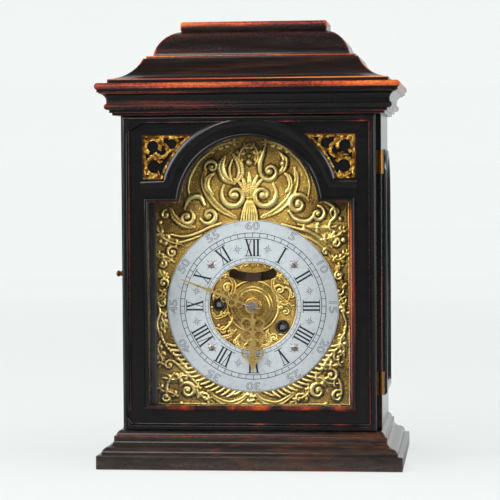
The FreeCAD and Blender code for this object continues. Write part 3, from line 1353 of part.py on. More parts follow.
fly_vane = block("fly_vane", f"{FLY[0]} - 9", f"{FLY[0]} + 9", f"{PLATE_INNER} + 6",
                 f"{PLATE_INNER} + 26", f"{FLY[1]} - 0.4", f"{FLY[1]} + 0.4")
fly_pinion = train_pinion("fly_pinion", FLY, "fly_module", "fly_leaves", fly_leaf, PIN_WHEEL)
fly_shaft = arbor("fly_shaft", FLY, [("pivot_radius", PLATE_FRONT, BACK_OUTER)])
joined("fly", [fly_shaft, fly_vane, fly_pinion])

# ---------------------------------------------------------------- bell and hammer

BELL_Y = f"({PLATE_INNER} + pillar_length / 2 - bell_setback)"
turned("bell", [
    ("bell_boss", "bell_height"), ("bell_crown", "bell_height"),
    ("bell_radius", "bell_skirt"), ("bell_radius", "0"), ("bell_radius - bell_wall", "0"),
    ("bell_radius - bell_wall", "bell_skirt"),
    ("bell_crown - bell_wall / 2", "bell_height - bell_wall"),
    ("bell_boss", "bell_height - bell_wall")],
    "up", ("0", BELL_Y, "bell_mouth"))

STAND_TOP = "(bell_mouth + bell_height + 5)"
STAND_LOW = f"({STAND_TOP} - stand_thickness)"
POST = ("(stand_offset - stand_width / 2)", "(stand_offset + stand_width / 2)")
stand_post = block("stand_post", *POST, BACK_OUTER, f"{BACK_OUTER} + stand_thickness",
                   "plate_head - 20", STAND_TOP)
stand_arm = block("stand_arm", *POST, f"{BELL_Y} - stand_width / 2",
                  f"{BACK_OUTER} + stand_thickness", STAND_LOW, STAND_TOP)
stand_cross = block("stand_cross", "0 - stand_width / 2", POST[1],
                    f"{BELL_Y} - stand_width / 2", f"{BELL_Y} + stand_width / 2",
                    STAND_LOW, STAND_TOP)
stand_boss = doc.addObject("Part::Cylinder", "stand_boss")
bind(stand_boss, "Radius", "bell_boss")
bind(stand_boss, "Height", f"{STAND_TOP} - bell_mouth - bell_height + bell_wall + 1")
bind(stand_boss, "Placement.Base.y", BELL_Y)
bind(stand_boss, "Placement.Base.z", "bell_mouth + bell_height - bell_wall - 1")
joined("bell_stand", [stand_post, stand_arm, stand_cross, stand_boss])


def bell_hammer():
    """The hammer: an arbor in the plates, a tail by the lifting pins, an arm and a head."""
    x_place, z_place = spot(HAMMER)
    head = at("hammer_head")
    head_x = -at("bell_radius") - at("hammer_gap") - head
    bell_y, head_z = at(BELL_Y), at("bell_mouth") + 3
    foot = Vector(x_place, bell_y, z_place)
    reach = Vector(head_x, bell_y, head_z) - foot
    arm = Part.makeCylinder(1.1, reach.Length, foot, reach)
    mallet = Part.makeCylinder(head, 2 * head, Vector(head_x, bell_y - head, head_z),
                               Vector(0, 1, 0))
    pin_x, pin_z = spot(PIN)
    away = Vector(pin_x - x_place, 0, pin_z - z_place)
    tail_length = away.Length - at(PIN_CIRCLE) - 1.8
    tail_y = at(PIN_WHEEL) + wheel_thickness + 0.6
    tail = Part.makeBox(tail_length, 2, 2.4, Vector(0, 0, -1.2))
    tail.rotate(Vector(), Vector(0, 1, 0), -math.degrees(math.atan2(away.z, away.x)))
    tail.translate(Vector(x_place, tail_y, z_place))
    return arm.fuse([mallet, tail])


joined("hammer", [pivoted("hammer_shaft", HAMMER), made("hammer_arm", bell_hammer())])

# ---------------------------------------------------------------- hinges

THIRD = "(hinge_length / 3)"
AXIS_Y = f"({CARCASS_FRONT} - door_gap / 2)"
REAR_X = f"({INNER_X} - rear_door_gap / 2)"
REAR_Y = f"({CARCASS_BACK} + rear_knuckle_radius + 0.05)"


def upright(name, radius, x_place, y_place, low, high):
    post = doc.addObject("Part::Cylinder", name)
    bind(post, "Radius", radius)
    bind(post, "Height", f"({high}) - ({low})")
    bind(post, "Placement.Base.x", x_place)
    bind(post, "Placement.Base.y", y_place)
    bind(post, "Placement.Base.z", low)
    return post


def hinge(name, low, radius, axis_x, axis_y, case_side, door_side, case_y, door_y):
    """A three-knuckle butt hinge: the case half with its driven pin, and the door half.

    case_side and door_side give each leaf's far and near edge along X; case_y and door_y
    give its two faces. A leaf runs under its own knuckles and stops short of the others.
    """
    high = f"({low} + hinge_length)"
    cuts = (low, f"({low} + {THIRD})", f"({low} + 2 * {THIRD})", high)
    run = upright(name + "_run", "hinge_pin_radius + running_gap", axis_x, axis_y, low, high)

    def leaf(part, side, faces, spans):
        pieces = [block(f"{name}_{part}_leaf", side[0], side[1], *faces, low, high)]
        for number, (start, stop) in enumerate(spans):
            pieces.append(upright(f"{name}_{part}_knuckle_{number}", radius, axis_x, axis_y,
                                  start, stop))
            ends = sorted((axis_x, side[2]), key=at)
            pieces.append(block(f"{name}_{part}_lug_{number}", *ends, *faces, start, stop))
        return joined(f"{name}_{part}_blank", pieces)

    gap = "knuckle_gap / 2"
    case_spans = [(cuts[0], f"{cuts[1]} - {gap}"), (f"{cuts[2]} + {gap}", cuts[3])]
    door_spans = [(f"{cuts[1]} + {gap}", f"{cuts[2]} - {gap}")]
    pin = upright(name + "_pin", "hinge_pin_radius", axis_x, axis_y, low, high)
    case_half = joined(f"{name}_case_half", [leaf("case", case_side, case_y, case_spans), pin])
    door_half = less(f"{name}_door_half", leaf("door", door_side, door_y, door_spans), run)
    return case_half, door_half


INSIDE_EDGE = "(hinge_x - knuckle_radius - knuckle_gap)"
front_hinges = [hinge(
    f"front_{level}", level, "knuckle_radius", "hinge_x", AXIS_Y,
    (INNER_X, INSIDE_EDGE, INSIDE_EDGE), ("hinge_x - leaf_width", INSIDE_EDGE, INSIDE_EDGE),
    (CARCASS_FRONT, f"{CARCASS_FRONT} + leaf_thickness"),
    (f"{DOOR_BACK} - leaf_thickness", DOOR_BACK)) for level in ("hinge_low", "hinge_high")]
REAR_LEFT = f"({REAR_X} - rear_knuckle_radius - knuckle_gap)"
REAR_RIGHT = f"({REAR_X} + rear_knuckle_radius + knuckle_gap)"
REAR_FACES = (CARCASS_BACK, f"{CARCASS_BACK} + leaf_thickness")
rear_hinges = [hinge(
    f"rear_{level}", level, "rear_knuckle_radius", REAR_X, REAR_Y,
    (REAR_RIGHT, f"{CARCASS_X} - 1", REAR_RIGHT), (f"{REAR_X} - 11", REAR_LEFT, REAR_LEFT),
    REAR_FACES, REAR_FACES) for level in ("rear_hinge_low", "rear_hinge_high")]
group("hinge_case_leaves", [one[0] for one in front_hinges + rear_hinges])
group("front_hinge_door_leaves", [one[1] for one in front_hinges])
group("rear_hinge_door_leaves", [one[1] for one in rear_hinges])

# ---------------------------------------------------------------- catch

CATCH_IN = f"({INNER_X} - fret_gap)"
spindle = turned("catch_spindle", [
    ("0", f"{CATCH_IN} - 3"), ("catch_stem", f"{CATCH_IN} - 3"), ("catch_stem", CARCASS_X),
    ("catch_collar", CARCASS_X), ("catch_collar", f"{CARCASS_X} + 1.6"),
    ("catch_stem", f"{CARCASS_X} + 2.2"), ("catch_stem", f"{CARCASS_X} + catch_reach - 1.6"),
    ("catch_stem * 1.3", f"{CARCASS_X} + catch_reach - 0.8"),
    ("catch_stem", f"{CARCASS_X} + catch_reach"), ("0", f"{CARCASS_X} + catch_reach")],
    "left", ("0", "catch_y", "catch_height"))
catch_bar = block("catch_bar", f"0 - {CATCH_IN}", f"3 - {CATCH_IN}", "catch_y - catch_stem * 2",
                  "catch_y + catch_stem * 2", "catch_height - catch_stem * 2",
                  "catch_height + catch_arm")
joined("door_catch", [spindle, catch_bar])

# ---------------------------------------------------------------- rear door

REAR_FRONT = f"({CARCASS_BACK} - rear_door_thickness)"
REAR_HALF = f"({INNER_X} - rear_door_gap)"
REAR_HEAD = "(cornice_bottom - rear_door_gap)"


def rear_opening(margin):
    inset = f"(rear_stile - ({margin}))"
    return rectangle(f"{inset} - {REAR_HALF}", f"{REAR_HALF} - {inset}",
                     f"rear_door_sill + {inset}", f"{REAR_HEAD} - {inset}")


rear_frame = plate("rear_door_frame", "XZ_Plane", [
    rectangle(f"0 - {REAR_HALF}", REAR_HALF, "rear_door_sill", REAR_HEAD), rear_opening("0")],
    REAR_FRONT, CARCASS_BACK)
sink(rear_frame, "XZ_Plane", [rear_opening("glass_margin")], REAR_FRONT,
     f"{REAR_FRONT} + glass_thickness")
plate("rear_glass", "XZ_Plane", [rear_opening("glass_margin - fret_gap")], REAR_FRONT,
      f"{REAR_FRONT} + glass_thickness")

LATCH_X = f"(rear_stile / 2 - {REAR_HALF})"
latch_bore = rear_frame.newObject("PartDesign::Pocket", "latch_bore")
latch_bore.Profile = draw(rear_frame, "XZ_Plane", [
    ("circle", LATCH_X, "latch_height", "catch_stem + running_gap")], f"0 - ({CARCASS_BACK})")
latch_bore.Reversed = True
bind(latch_bore, "Length", "8")
doc.recompute()
latch_pin = rod("latch_pin", "catch_stem", f"{CARCASS_BACK} - 7", f"{CARCASS_BACK} + 4",
                LATCH_X, "latch_height")
latch_bar = block("latch_bar", f"{LATCH_X} - 3.5", f"{LATCH_X} + 3.5", f"{CARCASS_BACK} + 1",
                  f"{CARCASS_BACK} + 3", "latch_height - latch_length / 2 - 4",
                  "latch_height + latch_length / 2 + 4")
latch_cap = rod("latch_cap", "catch_collar", f"{CARCASS_BACK} + 3", f"{CARCASS_BACK} + 4.4",
                LATCH_X, "latch_height")
joined("rear_latch", [latch_pin, latch_bar, latch_cap])

# ---------------------------------------------------------------- write the pieces

NODES = [
    "base_board", "door_sill", "rear_rail", "plinth_moulding", "side_panel_left",
    "side_panel_right", "side_glass", "side_mouldings", "top_board", "cornice_moulding",
    "caddy_lower", "caddy_upper", "caddy_cap", "door_frame", "door_edge_moulding",
    "door_sight_moulding", "door_glass", "glass_beads", "spandrel_cloth",
    "spandrel_frets", "dial_mask", "dial_plate", "chapter_ring", "chapter_ring_screws",
    "dial_boss", "dial_feet", "minute_hand", "hour_hand", "hand_collet", "front_plate",
    "back_plate", "movement_pillars", "seat_board", "seat_cleats", "cannon_wheel",
    "minute_wheel", "hour_wheel", "going_barrel", "strike_barrel", "going_winder",
    "strike_winder", "centre_arbor", "contrate_wheel", "crown_wheel", "potence",
    "verge_staff_and_rod", "pendulum_bob", "verge_cocks", "pin_wheel", "fly",
    "bell", "bell_stand", "hammer", "hinge_case_leaves", "front_hinge_door_leaves",
    "rear_hinge_door_leaves", "door_catch", "rear_door_frame", "rear_glass",
    "rear_latch",
]

doc.recompute()
for item in doc.Objects:
    if "Invalid" in item.State or "Error" in item.State:
        raise ValueError(f"{item.Label} could not be built")

os.makedirs("parts", exist_ok=True)
for label in NODES:
    piece = doc.getObjectsByLabel(label)[0]
    shape = piece.Shape
    if shape.isNull() or not shape.isValid() or not shape.Solids:
        raise ValueError(f"{label} is not a sound solid")
    shape.exportStep(f"parts/{label}.step")
print(len(NODES), "pieces written")
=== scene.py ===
# %% [markdown]
# # A bracket clock in an ebonised case
# The clock stands about 43 cm high. Its case is pearwood stained black and polished,
# and two and a half centuries of handling have rubbed the raised edges back to red and
# orange wood. Behind the arched glass lies a brass dial that is chased all over, with a
# silvered ring for the hours. We load the construction model first: it fixes every size,
# and everything below only dresses it. Sizes are written in millimetres, and MM turns
# them into Blender's metres.

# %% Load the construction model
import json
import math

import bmesh
import bpy
import numpy as np
from mathutils import Matrix, Vector

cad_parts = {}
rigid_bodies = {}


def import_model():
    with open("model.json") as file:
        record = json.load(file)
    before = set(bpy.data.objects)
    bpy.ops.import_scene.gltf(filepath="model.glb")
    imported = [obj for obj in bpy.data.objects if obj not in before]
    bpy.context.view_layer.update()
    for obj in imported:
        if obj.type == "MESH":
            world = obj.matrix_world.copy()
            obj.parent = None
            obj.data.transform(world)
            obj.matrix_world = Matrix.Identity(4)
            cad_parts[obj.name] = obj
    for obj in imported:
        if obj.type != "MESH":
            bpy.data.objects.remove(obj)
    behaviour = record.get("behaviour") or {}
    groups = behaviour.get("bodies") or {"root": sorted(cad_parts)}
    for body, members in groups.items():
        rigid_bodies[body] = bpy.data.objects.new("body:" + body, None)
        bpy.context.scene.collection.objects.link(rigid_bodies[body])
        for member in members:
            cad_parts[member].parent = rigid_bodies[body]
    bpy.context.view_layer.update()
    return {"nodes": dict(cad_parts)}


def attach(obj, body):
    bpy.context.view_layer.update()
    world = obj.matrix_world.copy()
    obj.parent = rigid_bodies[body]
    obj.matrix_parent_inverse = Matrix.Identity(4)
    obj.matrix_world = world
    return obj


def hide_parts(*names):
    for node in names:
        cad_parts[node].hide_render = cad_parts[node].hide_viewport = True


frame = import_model()
nodes = frame["nodes"]
MM = 0.001
CASE_HALF_WIDTH, CASE_HALF_DEPTH = 145, 100
ARCH_CENTRE = 248.5
DIAL_CENTRE = 152.2

# %% [markdown]
# ## Camera
# The photographer stood a little below the top of the clock and a little to its right,
# about two metres away, so we see a sliver of the right side. A long lens from that far
# keeps the upright lines almost parallel. Camera directions are easiest to write as a
# turn to the side, a tilt down and a small roll, and from them we build the matrix. The
# focal length and the width of the picture are both counted in pixels.

# %% Place the camera
yaw, pitch, roll = -0.1078, -0.0399, -0.0070
camera_place = Vector((0.2140, -2.0477, 0.2866))
focal_length, picture_width = 2095, 500
sensor_width = 36
look = Vector((math.sin(yaw) * math.cos(pitch), math.cos(yaw) * math.cos(pitch),
               math.sin(pitch)))
level_right = Vector((math.cos(yaw), -math.sin(yaw), 0))
level_up = level_right.cross(look)
right = math.cos(roll) * level_right + math.sin(roll) * level_up
up = math.cos(roll) * level_up - math.sin(roll) * level_right

camera_data = bpy.data.cameras.new("studio_camera")
camera_data.sensor_width = sensor_width
camera_data.lens = focal_length / picture_width * sensor_width
camera = bpy.data.objects.new("studio_camera", camera_data)
bpy.context.scene.collection.objects.link(camera)
camera.matrix_world = (Matrix.Translation(camera_place)
                       @ Matrix((right, up, -look)).transposed().to_4x4())
bpy.context.scene.camera = camera
print("lens", round(camera_data.lens, 1), "mm")

# %% [markdown]
# ## Finishes: a small kit for building shader nodes
# Every finish here is worked out from the position of a point on its piece, never from a
# picture, so the same grain wraps round a moulding without a seam. A finish is a chain of
# a few kinds of node, so we write one helper for each kind and keep the chains short.

# %% Helpers that add one shader node each
class Finish:
    """A material under construction: each method adds one node and returns its output."""

    def __init__(self, name, **plain):
        self.material = bpy.data.materials.new(name)
        self.material.use_nodes = True
        self.tree = self.material.node_tree
        self.shader = self.tree.nodes["Principled BSDF"]
        for socket, value in plain.items():
            self.shader.inputs[socket.replace("_", " ")].default_value = value
        self.place = self.node("ShaderNodeTexCoord").outputs["Object"]

    def node(self, kind, **settings):
        made = self.tree.nodes.new(kind)
        for key, value in settings.items():
            setattr(made, key, value)
        return made

    def feed(self, socket, value):
        if isinstance(value, bpy.types.NodeSocket):
            self.tree.links.new(value, socket)
        else:
            socket.default_value = value

    def stretched(self, scale):
        """The position with each axis scaled: a small number makes long streaks."""
        mapping = self.node("ShaderNodeMapping")
        self.feed(mapping.inputs["Vector"], self.place)
        mapping.inputs["Scale"].default_value = scale
        return mapping.outputs["Vector"]

    def turn_at_mitre(self):
        """Lets the grain run along each side of the case: x and y swap past the mitre."""
        axes = self.node("ShaderNodeSeparateXYZ")
        self.feed(axes.inputs[0], self.place)
        x, y, z = axes.outputs
        past_width, past_depth = [
            self.sums("SUBTRACT", self.sums("ABSOLUTE", axis), half * MM)
            for axis, half in ((x, CASE_HALF_WIDTH), (y, CASE_HALF_DEPTH))]
        side = self.sums("GREATER_THAN", past_width, past_depth)
        swapped = self.node("ShaderNodeCombineXYZ")
        for socket, value in zip(swapped.inputs, (y, x, z)):
            self.feed(socket, value)
        choice = self.node("ShaderNodeMix", data_type="VECTOR")
        self.feed(choice.inputs[0], side)
        self.feed(choice.inputs[4], self.place)
        self.feed(choice.inputs[5], swapped.outputs[0])
        self.place = choice.outputs[1]

    def noise(self, size, detail=4, where=None, rough=0.55, twist=0):
        """Cloudy noise with blotches of about this size in metres."""
        made = self.node("ShaderNodeTexNoise")
        self.feed(made.inputs["Vector"], where or self.place)
        made.inputs["Scale"].default_value = 1 / size
        made.inputs["Detail"].default_value = detail
        made.inputs["Roughness"].default_value = rough
        made.inputs["Distortion"].default_value = twist
        return made.outputs["Fac"]

    def cells(self, size, feature="F1"):
        made = self.node("ShaderNodeTexVoronoi", feature=feature)
        self.feed(made.inputs["Vector"], self.place)
        made.inputs["Scale"].default_value = 1 / size
        return made.outputs["Distance"]

    def painted(self, name):
        """A number that was written on the mesh, such as wear or relief."""
        return self.node("ShaderNodeAttribute", attribute_name=name).outputs["Fac"]

    def sums(self, operation, first, second=0.5, third=0.0, clamp=False):
        made = self.node("ShaderNodeMath", operation=operation, use_clamp=clamp)
        for socket, value in zip(made.inputs, (first, second, third)):
            self.feed(socket, value)
        return made.outputs[0]

    def between(self, value, low, high, to_low=0.0, to_high=1.0):
        made = self.node("ShaderNodeMapRange")
        for socket, number in zip(made.inputs, (value, low, high, to_low, to_high)):
            self.feed(socket, number)
        return made.outputs[0]

    def ramp(self, value, *stops):
        """A colour for each level, written as (level, (red, green, blue))."""
        made = self.node("ShaderNodeValToRGB")
        self.feed(made.inputs["Fac"], value)
        band = made.color_ramp
        while len(band.elements) < len(stops):
            band.elements.new(1)
        for element, (level, colour) in zip(band.elements, stops):
            element.position = level
            element.color = (*colour, 1)
        return made.outputs["Color"]

    def blend(self, amount, first, second, kind="MIX"):
        made = self.node("ShaderNodeMix", data_type="RGBA", blend_type=kind)
        self.feed(made.inputs["Factor"], amount)
        for socket, value in zip((made.inputs[6], made.inputs[7]), (first, second)):
            self.feed(socket, value if isinstance(value, bpy.types.NodeSocket) else (*value, 1))
        return made.outputs[2]

    def bump(self, height, depth, strength=0.5):
        """Fine relief, with its depth in metres."""
        made = self.node("ShaderNodeBump")
        made.inputs["Strength"].default_value = strength
        made.inputs["Distance"].default_value = depth
        self.feed(made.inputs["Height"], height)
        self.feed(self.shader.inputs["Normal"], made.outputs["Normal"])

    def wear(self, colour=None, roughness=None):
        """Connects the colour and the roughness to the shader and returns the material."""
        if colour:
            self.feed(self.shader.inputs["Base Color"], colour)
        if roughness:
            self.feed(self.shader.inputs["Roughness"], roughness)
        return self.material


print("finish kit ready")

# %% [markdown]
# ## Ebonised wood
# The black is a thin stain under shellac. Where hands and dusters have rubbed it away the
# pearwood shows, first dark red, then orange. The mouldings below carry a number called
# "wear" on each vertex, high on edges that stand proud. We add noise to it, so the rubbed
# line breaks up into streaks and chips instead of following the edge like paint.

# %% Ebonised wood, with the grain along one axis
def ebonised(name, grain, flame=0.0, ground=(0.0065, 0.0055, 0.006), mitred=False):
    finish = Finish(name, Coat_Weight=0.3, Coat_Roughness=0.10, Specular_IOR_Level=0.3)
    if mitred:
        finish.turn_at_mitre()
    streaks = finish.noise(0.004, 6, finish.stretched(grain), 0.6)
    blotch = finish.noise(0.022, 3, finish.stretched(grain))
    chips = finish.noise(0.0022, 5)
    rubbed = finish.painted("wear")
    shake = finish.sums("ADD", finish.sums("MULTIPLY_ADD", blotch, 1.6, -0.80),
                        finish.sums("MULTIPLY_ADD", chips, 0.7, -0.35))
    level = finish.sums("ADD", rubbed, finish.sums("MULTIPLY", shake, finish.between(
        rubbed, 0.0, 0.3, 0.22, 1.0)), clamp=True)
    lifted = tuple(2.0 * part for part in ground)
    worn = finish.ramp(
        level, (0.0, ground), (0.24, lifted),
        (0.38, (0.065, 0.012, 0.007)), (0.54, (0.30, 0.028, 0.010)),
        (0.70, (0.60, 0.095, 0.014)), (0.88, (0.78, 0.22, 0.035)), (1.0, (0.84, 0.36, 0.09)))
    grain_tint = finish.between(streaks, 0.3, 0.7, 0.45, 1.0)
    colour = finish.blend(1.0, worn, finish.ramp(
        grain_tint, (0.0, (0.0, 0.0, 0.0)), (1.0, (1.0, 1.0, 1.0))), "MULTIPLY")
    if flame:
        figure = finish.noise(0.05, 2, finish.stretched(grain), 0.5, 0.9)
        tongue = finish.between(finish.sums("ABSOLUTE", finish.sums(
            "SUBTRACT", figure, 0.55)), 0.045, 0.0, 0.0, flame)
        colour = finish.blend(finish.sums("MULTIPLY", tongue, finish.between(
            streaks, 0.35, 0.6, 0.15, 1.0)), colour, (0.11, 0.030, 0.012))
    finish.bump(finish.sums("MULTIPLY_ADD", streaks, 0.7, finish.sums(
        "MULTIPLY", chips, 0.3)), 0.0003, 0.3)
    return finish.wear(colour, finish.between(level, 0.1, 0.8, 0.24, 0.48))


wood_across = ebonised("ebonised_across", (0.12, 1, 1))
wood_upright = ebonised("ebonised_upright", (1, 1, 0.12))
wood_moulded = ebonised("ebonised_moulded", (0.12, 1, 1), mitred=True)
wood_figured = ebonised("ebonised_figured", (0.22, 1, 1), 0.5, (0.027, 0.019, 0.016), True)
wood_brown = ebonised("ebonised_brown", (0.10, 1, 1), 0.22, (0.011, 0.0068, 0.006), True)
print("wood finishes:", wood_across.name, wood_upright.name, wood_figured.name)

# %% [markdown]
# ## Brass, silver, steel and bell metal
# Old brass is bright where it is rubbed and brown where dirt and old lacquer sit. A
# metal's look comes mostly from what it mirrors, so the colour stays simple and the
# roughness carries the story: cloudy tarnish, fine scratches and small dark specks.

# %% Metal finishes
def metal(name, bright, dull, roughness, speck=0.0, scratch=(1, 1, 1), metallic=1.0):
    finish = Finish(name, Metallic=metallic)
    cloud = finish.noise(0.006, 4)
    lines = finish.noise(0.0016, 3, finish.stretched(scratch))
    dirt = finish.sums("ADD", finish.sums("MULTIPLY_ADD", cloud, 0.7, -0.05),
                       finish.sums("MULTIPLY_ADD", lines, 0.5, -0.25))
    colour = finish.ramp(dirt, (0.30, bright), (0.75, dull))
    if speck:
        spots = finish.between(finish.noise(0.0014, 2), 0.66, 0.72, 0, speck)
        colour = finish.blend(spots, colour, (0.02, 0.012, 0.008))
    finish.bump(lines, 0.00003, 0.3)
    return finish.wear(colour, finish.between(dirt, 0.2, 0.8, roughness * 0.75,
                                              roughness * 1.5))


case_brass = metal("case_brass", (0.40, 0.19, 0.05), (0.10, 0.045, 0.015), 0.40, 0.7)
hand_brass = metal("hand_brass", (0.86, 0.60, 0.19), (0.50, 0.29, 0.08), 0.36)
boss_brass = metal("boss_brass", (0.66, 0.46, 0.12), (0.42, 0.27, 0.065), 0.34)
screw_steel = metal("screw_steel", (0.44, 0.38, 0.35), (0.24, 0.20, 0.18), 0.40)
bob_red = metal("bob_red", (0.05, 0.018, 0.010), (0.012, 0.007, 0.005), 0.5, 0.0,
                (1.6, 1, 0.08), 0.5)
movement_brass = metal("movement_brass", (0.76, 0.50, 0.17), (0.42, 0.25, 0.08), 0.30,
                       0.2, (1, 1, 0.1))
dull_brass = metal("dull_brass", (0.13, 0.08, 0.03), (0.05, 0.03, 0.012), 0.45, 0.5)
bell_metal = metal("bell_metal", (0.70, 0.62, 0.45), (0.40, 0.32, 0.20), 0.22, 0.3)
polished_steel = metal("polished_steel", (0.60, 0.61, 0.63), (0.30, 0.29, 0.29), 0.26, 0.2)
dark_steel = metal("dark_steel", (0.10, 0.09, 0.085), (0.035, 0.028, 0.024), 0.38)
silvered = metal("silvered_ring", (0.52, 0.555, 0.57), (0.24, 0.265, 0.28), 0.48, 0.25,
                 (1, 1, 1), 0.30)


def carved_brass():
    finish = Finish("fret_brass", Metallic=1.0)
    carving_height_and_shade = finish.noise(0.0042, 2)
    # Painted shade and highlight: the noise that raises the bump also colours its low places dark
    # and its high places bright.
    colour = finish.ramp(carving_height_and_shade, (0.40, (0.14, 0.055, 0.012)), (0.52, (0.52, 0.27, 0.045)),
                         (0.68, (0.86, 0.54, 0.12)))
    finish.bump(carving_height_and_shade, 0.0032, 0.9)
    return finish.wear(colour, finish.between(carving_height_and_shade, 0.3, 0.7, 0.5, 0.3))


fret_brass = carved_brass()
print("metals:", case_brass.name, movement_brass.name, silvered.name)

# %% [markdown]
# ## Glass, cloth, wax and the dark lining
# A pane is a clear gloss over what lies behind it. Lamps must shine through it, so shadow
# rays see a transparent shader instead. The silk behind the corner frets is nearly black.

# %% Glass and the quiet finishes
def clear_glass():
    finish = Finish("clear_glass", Base_Color=(1, 1, 1, 1), Roughness=0.02, IOR=1.45,
                    Transmission_Weight=1.0)
    rays = finish.node("ShaderNodeLightPath")
    seen = finish.sums("MAXIMUM", rays.outputs["Is Shadow Ray"],
                       rays.outputs["Is Diffuse Ray"])
    clear = finish.node("ShaderNodeBsdfTransparent")
    mixed = finish.node("ShaderNodeMixShader")
    finish.bump(finish.noise(0.05, 1), 0.00002, 0.2)
    finish.feed(mixed.inputs[0], seen)
    finish.feed(mixed.inputs[1], finish.shader.outputs[0])
    finish.feed(mixed.inputs[2], clear.outputs[0])
    output = finish.tree.nodes["Material Output"]
    finish.feed(output.inputs["Surface"], mixed.outputs[0])
    return finish.material


def quiet(name, colour, speck, size, roughness, depth, shine=0.3):
    finish = Finish(name, Specular_IOR_Level=shine)
    grainy = finish.noise(size, 4)
    finish.bump(grainy, depth, 0.6)
    return finish.wear(finish.ramp(grainy, (0.35, colour), (0.7, speck)),
                       finish.between(grainy, 0, 1, roughness * 0.85, roughness * 1.15))


glass = clear_glass()
cloth_finish = quiet("dark_silk", (0.004, 0.004, 0.005), (0.010, 0.009, 0.010), 0.0008, 0.9,
                     0.0003, 0.05)
lining = quiet("case_lining", (0.012, 0.013, 0.016), (0.026, 0.027, 0.032), 0.003, 0.5,
               0.0002)
black_wax = quiet("black_wax", (0.006, 0.006, 0.008), (0.02, 0.02, 0.024), 0.0012, 0.6,
                  0.0001, 0.1)
grey_wax = quiet("grey_wax", (0.05, 0.052, 0.055), (0.13, 0.13, 0.135), 0.0009, 0.5, 0.0001)
print("glass, cloth, lining and wax ready")

# %% [markdown]
# ## Turning a bmesh into a finished piece
# All pieces pass through the same few steps: join doubled points, point the faces
# outward, mark which edges are crisp, give the finish, and say which body they ride on.

# %% Finish a piece
def finished(name, mesh, material, body, replaces=(), crisp=32):
    bmesh.ops.remove_doubles(mesh, verts=mesh.verts[:], dist=0.00001)
    bmesh.ops.recalc_face_normals(mesh, faces=mesh.faces[:])
    data = bpy.data.meshes.new(name)
    mesh.to_mesh(data)
    mesh.free()
    data.polygons.foreach_set("use_smooth", [True] * len(data.polygons))
    data.set_sharp_from_angle(angle=math.radians(crisp))
    data.materials.append(material)
    piece = bpy.data.objects.new(name, data)
    bpy.context.scene.collection.objects.link(piece)
    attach(piece, body)
    if replaces:
        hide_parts(*replaces)
    return piece


print("finishing bench ready")

# %% [markdown]
# Everything turned in a lathe starts as a line of points beside an axis. One spin with
# its ends merged makes the whole round, whichever way the axis points.

# %% Spin a line of points
def spun(mesh, points, centre, axis, steps, closed=True):
    """Spins a line of points round an axis through the centre, all in millimetres."""
    line = [mesh.verts.new(Vector(point) * MM) for point in points]
    ends = line[1:] + line[:1] if closed else line[1:]
    edges = [mesh.edges.new(pair) for pair in zip(line, ends)]
    bmesh.ops.spin(mesh, geom=line + edges, cent=Vector(centre) * MM, axis=axis,
                   angle=2 * math.pi, steps=steps, use_merge=True, use_duplicate=False)


print("lathe ready")

# %% [markdown]
# ## Drawing a moulding
# A joiner draws a moulding as a section and planes it along the wood. We do the same:
# the section is a list of points (step in from the outline, height), the outline is a
# function that gives the corners at any step, and each new ring is pulled out of the last
# with an edge extrude. Real arrises are never sharp, so `eased` rounds them first, and
# notes where the surface stands proud, because that is where the stain rubs off.

# %% Sections and how to ease them
def through(start, middle, end, steps=7):
    """Points on the arc through three points, without the first."""
    (ax, ay), (bx, by), (cx, cy) = start, middle, end
    spread = 2 * (ax * (by - cy) + bx * (cy - ay) + cx * (ay - by))
    ux = ((ax**2 + ay**2) * (by - cy) + (bx**2 + by**2) * (cy - ay)
          + (cx**2 + cy**2) * (ay - by)) / spread
    uy = ((ax**2 + ay**2) * (cx - bx) + (bx**2 + by**2) * (ax - cx)
          + (cx**2 + cy**2) * (bx - ax)) / spread
    radius = math.hypot(ax - ux, ay - uy)
    first = math.atan2(ay - uy, ax - ux)
    sweep = (math.atan2(cy - uy, cx - ux) - first) % (2 * math.pi)
    if (math.atan2(by - uy, bx - ux) - first) % (2 * math.pi) > sweep:
        sweep -= 2 * math.pi
    return [(ux + radius * math.cos(first + sweep * n / steps),
             uy + radius * math.sin(first + sweep * n / steps))
            for n in range(1, steps + 1)]


def section(*stops):
    """A section from stops: (in, height) is a straight, four numbers are an arc."""
    points = [stops[0]]
    for stop in stops[1:]:
        if len(stop) == 2:
            points.append(stop)
        else:
            points += through(points[-1], stop[:2], stop[2:])
    return points


def eased(points, radius=0.5, wear=0.8, steps=3):
    """The section with rounded corners, as (in, height, wear): proud corners get wear."""
    out = [(*points[0], 0.0)]
    for before, here, after in zip(points, points[1:], points[2:]):
        a, b, c = Vector(before), Vector(here), Vector(after)
        arriving, leaving = (b - a).normalized(), (c - b).normalized()
        turn = math.atan2(arriving.x * leaving.y - arriving.y * leaving.x,
                          arriving.dot(leaving))
        if abs(turn) < 0.35:
            out.append((*here, wear * max(0.0, -turn) * 0.5))
            continue
        reach = min(radius * math.tan(min(abs(turn), 2.4) / 2), 0.42 * (b - a).length,
                    0.42 * (c - b).length)
        proud = wear if turn < 0 else 0.0
        start, end = b - arriving * reach, b + leaving * reach
        for n in range(steps + 1):
            t = n / steps
            spot = start * (1 - t)**2 + b * 2 * t * (1 - t) + end * t**2
            out.append((spot.x, spot.y, proud * (1.0 if 0 < n < steps else 0.45)))
    out.append((*points[-1], 0.0))
    return out


def banded(points, *bands):
    """Adds wear between two heights: each band is (low, high, wear)."""
    return [(step, height, max([worn] + [extra for low, high, extra in bands
                                        if low <= height <= high]))
            for step, height, worn in points]


print("an eased square corner has", len(eased([(0, 0), (0, 5), (5, 5)])), "points")

# %% [markdown]
# Now the section travels. The first ring of points lies on the outline, and every further
# point of the section pulls out one more ring of faces. A moulding that closes on itself
# is bridged back to its first ring, and a solid block is capped at both ends instead.

